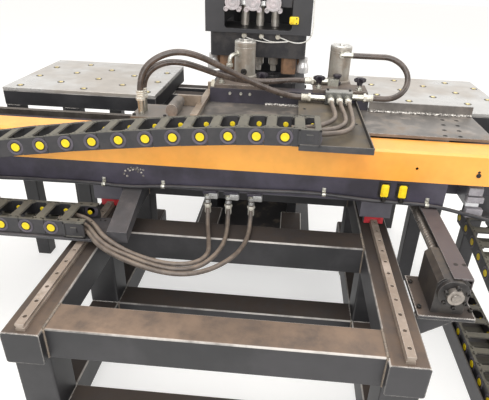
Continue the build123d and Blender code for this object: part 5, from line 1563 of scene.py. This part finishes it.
@dataclass
class ClampTrim:
    """Star knobs, thumb bolt, cylinder lids, elbow and plugs of the two sheet clamps."""

    body: str = "x_carriage"
    knob_x: tuple[float, ...] = (-109.0, 43.0, 254.0, 404.0)
    knob_y: float = -424.0
    floor: float = 880.0
    cylinder_x: tuple[float, ...] = (-34.0, 335.0)
    cylinder_y: float = -300.0
    cylinder_top: float = 1010.0
    knob_corners: int = 48
    knob_radius: float = 16.0
    knob_lobe: float = 6.2
    lid_screw_circle: float = 34.5

    def knobs(self) -> None:
        """Six-lobed hand knobs on studs."""
        outline = []
        for k in range(self.knob_corners):
            a = 2 * math.pi * k / self.knob_corners
            r = self.knob_radius + self.knob_lobe * math.cos(6 * a)
            outline.append((r * math.cos(a), r * math.sin(a)))
        solid = Solid().prism(outline, 29, 45, 3)
        solid.lathe([(0, 18), (9.5, 18), (11.5, 29), (11.5, 32), (0, 32)], 20)
        solid.lathe([(0, 43), (7.5, 43), (7, 46.5), (0, 47.5)], 16)
        places = [standing((x, self.knob_y, self.floor)) for x in self.knob_x]
        stand_pieces("star_knobs", solid, KNOB_BLACK, places, self.body)
        stud = Solid().lathe([(0, -0.5), (12, -0.5), (12, 2), (5, 2.2), (5, 19), (0, 19)], 18)
        stud.prism(hexagon(9.5), 2, 9.5, 0.6)
        stand_pieces("knob_studs", stud, ZINC, places, self.body)

    def bolt(self) -> None:
        """Dark thumb bolt with a waist, in front of the right cylinder."""
        solid = Solid().lathe([(0, -0.5), (15, -0.5), (16, 2), (16, 10), (12, 13), (9, 18),
                               (9, 23), (12, 28), (16.5, 31), (16.5, 38), (14, 40),
                               (0, 40)], 8, standing((326, -360, self.floor), UP))
        fasten(solid.object("thumb_bolt", KNOB_BLACK, smooth=False), self.body)

    def lids(self) -> None:
        """Turned lid with a groove, a centre plug and four screws on each cylinder."""
        solid = Solid()
        solid.lathe([(0, -0.4), (40, -0.4), (40.5, 1), (40.5, 5), (38.5, 7), (30, 7), (29, 5.8),
                     (27, 5.8), (26, 7), (13, 7), (13, 5.5), (0, 5.5)], 40)
        solid.prism(hexagon(9), 5, 11.5, 0.8)
        for k in range(4):
            a = math.radians(45 + 90 * k)
            solid.lathe([(0, 6), (3.6, 6), (3.6, 9), (1.8, 9.5), (1.7, 7.5), (0, 7.5)], 12,
                        standing((self.lid_screw_circle * math.cos(a),
                                  self.lid_screw_circle * math.sin(a), 0)))
        places = [standing((x, self.cylinder_y, self.cylinder_top)) for x in self.cylinder_x]
        stand_pieces("cylinder_lids", solid, CYLINDER_SILVER, places, self.body)
        foot = Solid().lathe([(40.8, -0.2), (47, -0.2), (47, 6), (45, 8.5), (40.8, 8.5),
                              (40.8, -0.2)], 40)
        places = [standing((x, self.cylinder_y, self.floor)) for x in self.cylinder_x]
        stand_pieces("cylinder_feet", foot, CYLINDER_GREY, places, self.body)

    def elbows(self) -> None:
        """Pale elbow and dark plug on the left cylinder, pale plug on its flange."""
        tube = bent_tube("left_clamp_elbow", ((-58, -330, 972), (-72, -352, 972), (-82, -364, 968),
                                              (-86, -368, 954), (-86, -368, 940)), 8.0, ZINC)
        fasten(tube, self.body)
        solid = Solid()
        for at, axis in (((-86, -368, 928), UP), ((-56, -327, 972), (-0.55, -0.83, 0.0)),
                         ((352, -335, 988), (0.35, -0.9, 0.25))):
            solid.prism(hexagon(12.5), 0, 13, 1, standing(at, axis))
        fasten(solid.object("left_clamp_elbow_nuts", ZINC), self.body)
        plug = Solid()
        plug.lathe([(0, -2), (12.5, -2), (12.5, 4), (11, 6), (6, 6), (5.5, 3), (0, 3)], 20,
                   standing((-34, -340.5, 906), FRONT, UP))
        fasten(plug.object("clamp_port_plugs", BOLT_BLACK), self.body)
        cones = Solid()
        cones.lathe([(0, -0.5), (9.5, -0.5), (9.5, 10), (7.5, 13), (6.8, 24), (0, 26)], 20,
                    standing((-141, -424, 866), UP))
        fasten(cones.object("flange_port_plug", WHITE_PLASTIC), self.body)

    def build(self) -> None:
        """Add all the trim of the clamps."""
        self.knobs()
        self.bolt()
        self.lids()
        self.elbows()


LEADS: tuple[HoseRoute, ...] = (
    HoseRoute("sensor_lead", (
        (92, -114, 1004), (108, -121, 1000), (134, -132, 992), (168, -142, 988),
        (202, -148, 996), (222, -149, 1018), (228, -144, 1048), (227, -136, 1084),
        (225, -132, 1124), (223, -133, 1180), (222, -135, 1240), (219, -137, 1284),
        (211, -138, 1309), (200, -136, 1318), (192, -129, 1318)), 2.6, 451,
        (False, False)),
    HoseRoute("connector_lead_left", (
        (-59, -114, 1004), (-50, -119, 1001), (-26, -122, 993), (10, -123, 986),
        (50, -124, 983), (88, -127, 986), (122, -131, 990)), 2.0, 187, (False, False)),
    HoseRoute("connector_lead_middle", (
        (14, -114, 1004), (22, -119, 998), (44, -122, 989), (76, -124, 986),
        (106, -128, 990), (128, -132, 992)), 2.0, 119, (False, False)),
)


@dataclass
class HeadTrim:
    """Selector faces, connectors, sensor, leads and pillar sleeves of the press head."""

    selector_x: tuple[float, ...] = (-104.0, -21.0, 62.0)
    face_y: float = -154.0
    centre_z: float = 1138.0
    ear_z: float = 1112.0
    ear_offset: float = 26.0
    connector_x: tuple[float, ...] = (-59.0, 14.0, 84.0)
    pillar_x: float = 199.0
    pillar_y: float = -45.0

    def faces(self) -> None:
        """Turned end faces with a rim, a recessed ring and a centre screw."""
        solid = Solid()
        solid.lathe([(0, -0.5), (30, -0.5), (31.2, 0.8), (31.2, 4.6), (29.6, 6.4), (23.6, 6.4),
                     (22.6, 4.2), (16.4, 4.2), (15.6, 5.6), (7, 5.6), (6.4, 2.6), (0, 2.6)], 40)
        places = [standing((x, self.face_y, self.centre_z), FRONT, UP) for x in self.selector_x]
        stand_pieces("selector_faces", solid, SELECTOR_METAL, places, "ram")
        ear = Solid().lathe([(0, -0.5), (9.8, -0.5), (10.6, 0.6), (10.6, 6), (9.4, 7.2),
                             (6.2, 7.2), (5.4, 6), (5, 2), (0, 2)], 26)
        places = [standing((x + s * self.ear_offset, self.face_y, self.ear_z), FRONT, UP)
                  for x in self.selector_x for s in (-1, 1)]
        stand_pieces("selector_ears", ear, SELECTOR_METAL, places, "ram")

    def connectors(self) -> None:
        """Three push-in connectors on the guide block's face."""
        solid = Solid()
        solid.lathe([(0, -0.5), (10.5, -0.5), (10.5, 6), (8.2, 7.2), (8.2, 16), (9.4, 17),
                     (9.4, 22), (6, 24), (0, 24)], 24)
        places = [standing((x, -90, 1004), FRONT, UP) for x in self.connector_x]
        stand_pieces("guide_connectors", solid, WHITE_PLASTIC, places, "base")

    def sensor(self) -> None:
        """Yellow sensor with two screws on the right jamb."""
        solid = Solid().slab((129, -150, 1062), (167, -129.6, 1091), 3)
        solid.slab((133, -154, 1068), (147, -149, 1085), 2)
        fasten(solid.object("yellow_sensor", SENSOR_YELLOW), "base")
        ScrewSet("sensor_screws", "base", Head.SOCKET, 2.6,
                 grid((158,), (-150,), (1067, 1086), FRONT)).build()

    def leads(self) -> None:
        """Pale leads of the connectors and the sensor, gathered up the head's right jamb."""
        for route in LEADS:
            cable = draw_hose(route, CABLE_WHITE)
            fasten(cable, "base")

    def pillars(self) -> None:
        """Polished tapered sleeves round the hold-down pins under the guide block."""
        solid = Solid()
        for side in (-1, 1):
            solid.lathe([(0, 850.2), (26, 850.2), (27, 851.4), (27, 870), (25.8, 880), (20.6, 892),
                         (19.6, 898), (20.4, 901), (20.4, 914.6), (0, 914.6)], 40,
                        standing((side * self.pillar_x, self.pillar_y, 0)))
        fasten(solid.object("guide_pillar_sleeves", PILLAR_CHROME), "base")

    def build(self) -> None:
        """Add all the trim of the head."""
        self.faces()
        self.connectors()
        self.sensor()
        self.leads()
        self.pillars()


@dataclass
class BeamTrim:
    """Cable clips, plugs, fittings, terminal modules and small marks along the cross beam."""

    body: str = "y_carriage"
    clip_places: tuple[tuple[float, float, float], ...] = (
        (-449, 620, 637), (-249, 626, 638), (281, 636, 650), (612, 621, 638))
    plug_x: tuple[float, ...] = (471, 527)
    fitting_x: tuple[float, ...] = (-105, -34, 44)
    nut_sizes: tuple[tuple[float, float], ...] = ((578, 11.8), (562, 10.5))
    modules: tuple[tuple[float, float, float, float], ...] = (
        (740, 656, 785, 682), (740, 630, 794, 650), (746, 577, 800, 608))
    tacks: tuple[tuple[float, float], ...] = (
        (-379, 659), (-374, 670), (-369, 652), (-363, 678), (-353, 682), (-343, 681),
        (-333, 684), (-331, 670), (-323, 679), (-321, 667), (-313, 678), (-315, 656),
        (-348, 676), (-338, 677), (-328, 676), (-358, 672))

    def clips(self) -> None:
        """Bands that hold the cable on the duct, each with a tab and a screw."""
        solid = Solid()
        for x, level, tab in self.clip_places:
            place = standing((x - 6, -816, level), RIGHT, UP)
            solid.lathe([(6.2, 0), (8.2, 0), (8.6, 1), (8.6, 11), (8.2, 12), (6.2, 12),
                         (6.2, 0)], 22, place)
            solid.slab((x - 6, -812.4, level + 6), (x + 6, -808.8, tab + 6), 0.8)
            solid.lathe([(0, 0), (4.2, 0), (3.8, 2.4), (1.6, 2.8), (1.4, 1.2), (0, 1.2)], 14,
                        standing((x, -812.2, tab), FRONT, UP))
        fasten(solid.object("cable_clips", ZINC), self.body)

    def plugs(self) -> None:
        """Two yellow plugs in dark sockets on the duct's face."""
        sockets, plugs = Solid(), Solid()
        for x in self.plug_x:
            sockets.slab((x - 19, -813, 636), (x + 19, -808.6, 692), 2)
            sockets.slab((x - 16, -819, 641), (x + 16, -812, 688), 3)
            sockets.lathe([(0, 0), (7.2, 0), (8, 3), (8, 18), (0, 18)], 18,
                          standing((x, -821, 627), UP))
            plugs.slab((x - 12, -827, 643), (x + 12, -818, 687), 3)
            plugs.slab((x - 7, -829, 650), (x + 7, -826, 680), 1.2)
        fasten(sockets.object("plug_sockets", BOLT_BLACK), self.body)
        fasten(plugs.object("yellow_plugs", SENSOR_YELLOW), self.body)

    def nuts(self) -> None:
        """Hexagons of the supply fittings and the gland of the cable."""
        solid = Solid()
        for x in self.fitting_x:
            for low, size in self.nut_sizes:
                solid.prism(hexagon(size), low, low + 11, 1, standing((x, -785, 0)))
        solid.lathe([(6.3, 590), (9, 590), (12, 597), (13.5, 600), (13.5, 611.8), (6.3, 611.8),
                     (6.3, 590)], 24, standing((918, -645, 0)))
        fasten(solid.object("supply_nuts", TERMINAL_SILVER), self.body)

    def blocks(self) -> None:
        """Plate and ribbed block above each supply fitting."""
        mounts, blocks = Solid(), Solid()
        for x in self.fitting_x:
            mounts.slab((x - 14, -801, 600), (x + 34, -771, 611.8), 1.5)
            blocks.slab((x + 6, -803, 584), (x + 37, -777, 604), 1.2)
            for k in range(4):
                rib = x + 8 + 7.4 * k
                blocks.slab((rib, -804.6, 585), (rib + 4.5, -802, 598), 0.5)
        fasten(mounts.object("supply_mounts", BEAM_PAINT), self.body)
        fasten(blocks.object("supply_blocks", TERMINAL_SILVER), self.body)

    def terminals(self) -> None:
        """Grey module boxes stacked in the beam's recess, each with a ribbed lower edge."""
        solid = Solid()
        solid.slab((752, -781, 577), (790, -775, 680), 1)
        for left, low, right, high in self.modules:
            solid.slab((left, -799, low), (right, -777, high), 1.6)
            for k in range(int((right - left) // 8)):
                rib = left + 2 + 8 * k
                solid.slab((rib, -800.5, low + 1), (rib + 4, -798, low + 5), 0.4)
        fasten(solid.object("terminal_modules", MODULE_GREY), self.body)

    def marks(self) -> None:
        """Near-black disc painted as the shade inside a hole near the cover's right end, and the
        bright tacks of the chain's arm.
        """
        hole = Solid().lathe(disc(7.5, -0.2, 0.4), 20, standing((750, -812, 733), FRONT, UP))
        fasten(hole.object("cover_hole", BOLT_BLACK), self.body)
        places = [standing((x, -809.2, z), FRONT, (math.sin(2.1 * k), 0, 1))
                  for k, (x, z) in enumerate(self.tacks)]
        tack = Solid().lathe([(0, -0.6), (4, -0.4), (3.6, 1.2), (1.6, 2), (0, 2.1)], 9)
        stand_pieces("arm_weld_tacks", tack, TACK_SILVER, places, self.body)

    def build(self) -> None:
        """Add all the trim of the beam."""
        self.clips()
        self.plugs()
        self.nuts()
        self.blocks()
        self.terminals()
        self.marks()


@dataclass
class Welds:
    """Weld seams of the stand, risers and press, laid as overlapping ripples."""

    step: float = 4.0
    tube_fronts: tuple[float, ...] = (-1351, -880, -410)
    tube_side: float = 100.0
    lean: Point = (0.3, 0.2, 1.0)
    riser_edges: tuple[float, float] = (422, 528)

    def seam(self, start: Point, end: Point) -> list[Matrix]:
        """Places of the ripples on a straight seam.

        Args:
            start: First end, in millimetres.
            end: Last end, in millimetres.

        Returns:
            Places whose Z runs along the seam.
        """
        run = Vector(mm(*end)) - Vector(mm(*start))
        count = max(2, int(run.length * 1000 / self.step))
        return [standing(Vector(start).lerp(Vector(end), (k + 0.5) / count), run, self.lean)
                for k in range(count)]

    @staticmethod
    def ripple() -> Solid:
        """One ripple: a flattened bead longer across the seam."""
        return Solid().lathe([(0, -3), (3, -2.2), (4.4, -0.6), (4.4, 0.8), (3.2, 2.2),
                              (0, 2.8)], 10)

    def build(self) -> None:
        """Lay the seams of each body."""
        stand: list[Matrix] = []
        for side in (-1, 1):
            x = side * 425.5
            for front in self.tube_fronts:
                rear = front + self.tube_side
                stand += self.seam((x, front + 2, 478), (x, rear - 2, 478))
                stand += self.seam((x, front, 381), (x, front, 476))
                stand += self.seam((x, rear, 381), (x, rear, 476))
                stand += self.seam((x, front, 72), (x, front, 166))
        stand_pieces("stand_welds", self.ripple(), WELD, stand, "base")
        beam: list[Matrix] = []
        for side in (-1, 1):
            for x in self.riser_edges:
                beam += self.seam((side * x, -724, 612), (side * x, -502, 612))
            beam += self.seam((side * 424, -726, 612), (side * 526, -726, 612))
        stand_pieces("riser_welds", self.ripple(), WELD, beam, "y_carriage")
        lip = self.seam((448, -455, 812.5), (818, -455, 812.5))
        lip += self.seam((60, -447.5, 812.5), (270, -447.5, 812.5))
        stand_pieces("lip_weld", self.ripple(), BRIGHT_WELD, lip, "x_carriage",
                     1.7)
        press: list[Matrix] = []
        for side in (-1, 1):
            press += self.seam((side * 221, -108, 40), (side * 221, 818, 40))
        stand_pieces("press_welds", self.ripple(), WELD, press, "base")


@dataclass
class GuardLid:
    """Sheet lid on the lengthwise screw's guard with near-black discs painted as the shade in its
    holes, and rims of the plate's holes.
    """

    left: float = 596.0
    right: float = 647.0
    front: float = -1190.0
    rear: float = -332.0
    seat: float = 607.1
    hole_x: tuple[float, ...] = (618, 640)
    hole_y: float = -1126.0
    rim_start: tuple[float, float, float] = (665, -683, 812)
    rim_step: tuple[float, float] = (49, 57)
    rim_skew: float = 12.0

    def build(self) -> None:
        """Lay the lid and set the rims of the plate's holes."""
        solid = Solid().slab((self.left, self.front, self.seat),
                             (self.right, self.rear, self.seat + 2.4), 0.8)
        fasten(solid.object("guard_lid", GUARD_STEEL), "base")
        # Painted shade: flat near-black discs for the lid's holes.
        holes = Solid()
        for x in self.hole_x:
            holes.lathe(disc(6.2, 0, 0.5), 14, standing((x, self.hole_y, self.seat + 2.3), UP))
        fasten(holes.object("guard_lid_holes", BOLT_BLACK), "base")
        x, y, z = self.rim_start
        across, along = self.rim_step
        places = [standing((x + across * column + self.rim_skew * row, y + along * row, z))
                  for column in range(2) for row in range(4)]
        ring = Solid().lathe([(5.4, -0.6), (7.8, -0.6), (7.8, 0.4), (5.4, 0.2),
                              (5.4, -0.6)], 20)
        stand_pieces("plate_hole_rims", ring, BOLT_BLACK, places, "x_carriage")


@dataclass
class ChainEnds:
    """Moulded end brackets of the drag chains."""

    @staticmethod
    def framed(solid: Solid, low: Point, high: Point, out: float) -> None:
        """Upright plate with a raised frame and a raised square on its outer face.

        Args:
            solid: Collection that takes the plate.
            low: Lowest corner in millimetres.
            high: Highest corner in millimetres.
            out: -1 where the frame faces the front, 1 where it faces the rear.
        """
        solid.slab(low, high, 1)
        face = low[1] if out < 0 else high[1]
        a, b = sorted((face + out * 2.6, face - out * 1.0))
        for left, right, bottom, top in ((low[0], low[0] + 6, low[2], high[2]),
                                         (high[0] - 6, high[0], low[2], high[2]),
                                         (low[0], high[0], low[2], low[2] + 5),
                                         (low[0], high[0], high[2] - 5, high[2])):
            solid.slab((left, a, bottom), (right, b, top), 0.9)
        middle_x, middle_z = (low[0] + high[0]) / 2, (low[2] + high[2]) / 2
        solid.slab((middle_x - 10, a, middle_z - 10), (middle_x + 10, b, middle_z + 10), 0.9)

    def build(self) -> None:
        """Framed plates on both sides of the cross chain's first and last link."""
        solid = Solid()
        self.framed(solid, (180, -950, 848), (243, -946, 898), -1)
        self.framed(solid, (180, -823, 848), (243, -819, 898), 1)
        solid.slab((225, -948, 890), (243, -821, 897), 1.6)
        fasten(solid.object("x_chain_end_bracket", CHAIN_PLASTIC), "x_carriage")
        solid = Solid()
        self.framed(solid, (-516, -1003.5, 524), (-450, -998.5, 576), -1)
        self.framed(solid, (-516, -876.5, 524), (-450, -871.5, 576), 1)
        for front, rear in ((-1001, -978), (-897, -874)):
            solid.slab((-518, front, 571), (-450, rear, 578), 1.2)
        fasten(solid.object("x_chain_fixed_bracket", CHAIN_PLASTIC), "y_carriage")
        # Painted shade: flat near-black discs for the bracket's screw holes.
        holes = Solid()
        for x in (-503, -470):
            for y in (-989, -886):
                holes.lathe(disc(4, 0, 0.6), 14, standing((x, y, 578), UP))
        fasten(holes.object("x_chain_bracket_holes", CHAIN_RECESS_SHADE), "y_carriage")


Y_SCREW = BallScrew("y_screw", "base", "Y", (602.0, 567.0),
                    ((-1222.0, -1037.0, 12.0), (-383.0, -332.0, 12.0), (-1218.0, -1200.0, 22.0)),
                    (-1038.0, -382.0), 14.0, 13.0, 2.6, 8)
X_SCREW = BallScrew("x_screw", "y_carriage", "X", (-602.5, 728.0),
                    ((-1518.0, -1487.0, 11.0), (927.0, 998.0, 11.0)), (-1488.0, 928.0), 13.0,
                    20.0, 2.2, 8)

ASSEMBLIES: tuple[object, ...] = (
    SUPPLY, CLAMP, CHAIN_END, X_CHAIN, Y_CHAIN, *SCREWS, SheetTable(), ClampTrim(), HeadTrim(),
    BeamTrim(), Welds(), GuardLid(), ChainEnds(), Y_SCREW, X_SCREW)


def node_finish(name: str) -> Finish | None:
    """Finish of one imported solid.

    Args:
        name: Node name.

    Returns:
        Its finish, or nothing for a name that the table lacks.
    """
    if name.startswith(("x_chain", "y_chain")) and name != "y_chain_trough":
        return CHAIN_PLASTIC
    if name.endswith("hoses"):
        return HOSE_RUBBER
    return NODE_FINISH.get(name)


def dress_nodes(nodes: dict[str, bpy.types.Object]) -> None:
    """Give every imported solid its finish.

    Args:
        nodes: The frame's objects by node name.
    """
    for name, node in nodes.items():
        finish = node_finish(name)
        if finish is None:
            log.warning("no finish for %s", name)
            continue
        material = finish.build()
        if not node.material_slots:
            node.data.materials.append(material)
        for slot in node.material_slots:
            slot.material = material


def main() -> None:
    """Build the studio, dress the frame and add every piece."""
    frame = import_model()
    Studio().build()
    dress_nodes(frame["nodes"])
    for assembly in ASSEMBLIES:
        assembly.build()


if __name__ == "__main__":
    logging.basicConfig(level=logging.INFO, format="%(name)s %(message)s")
    main()
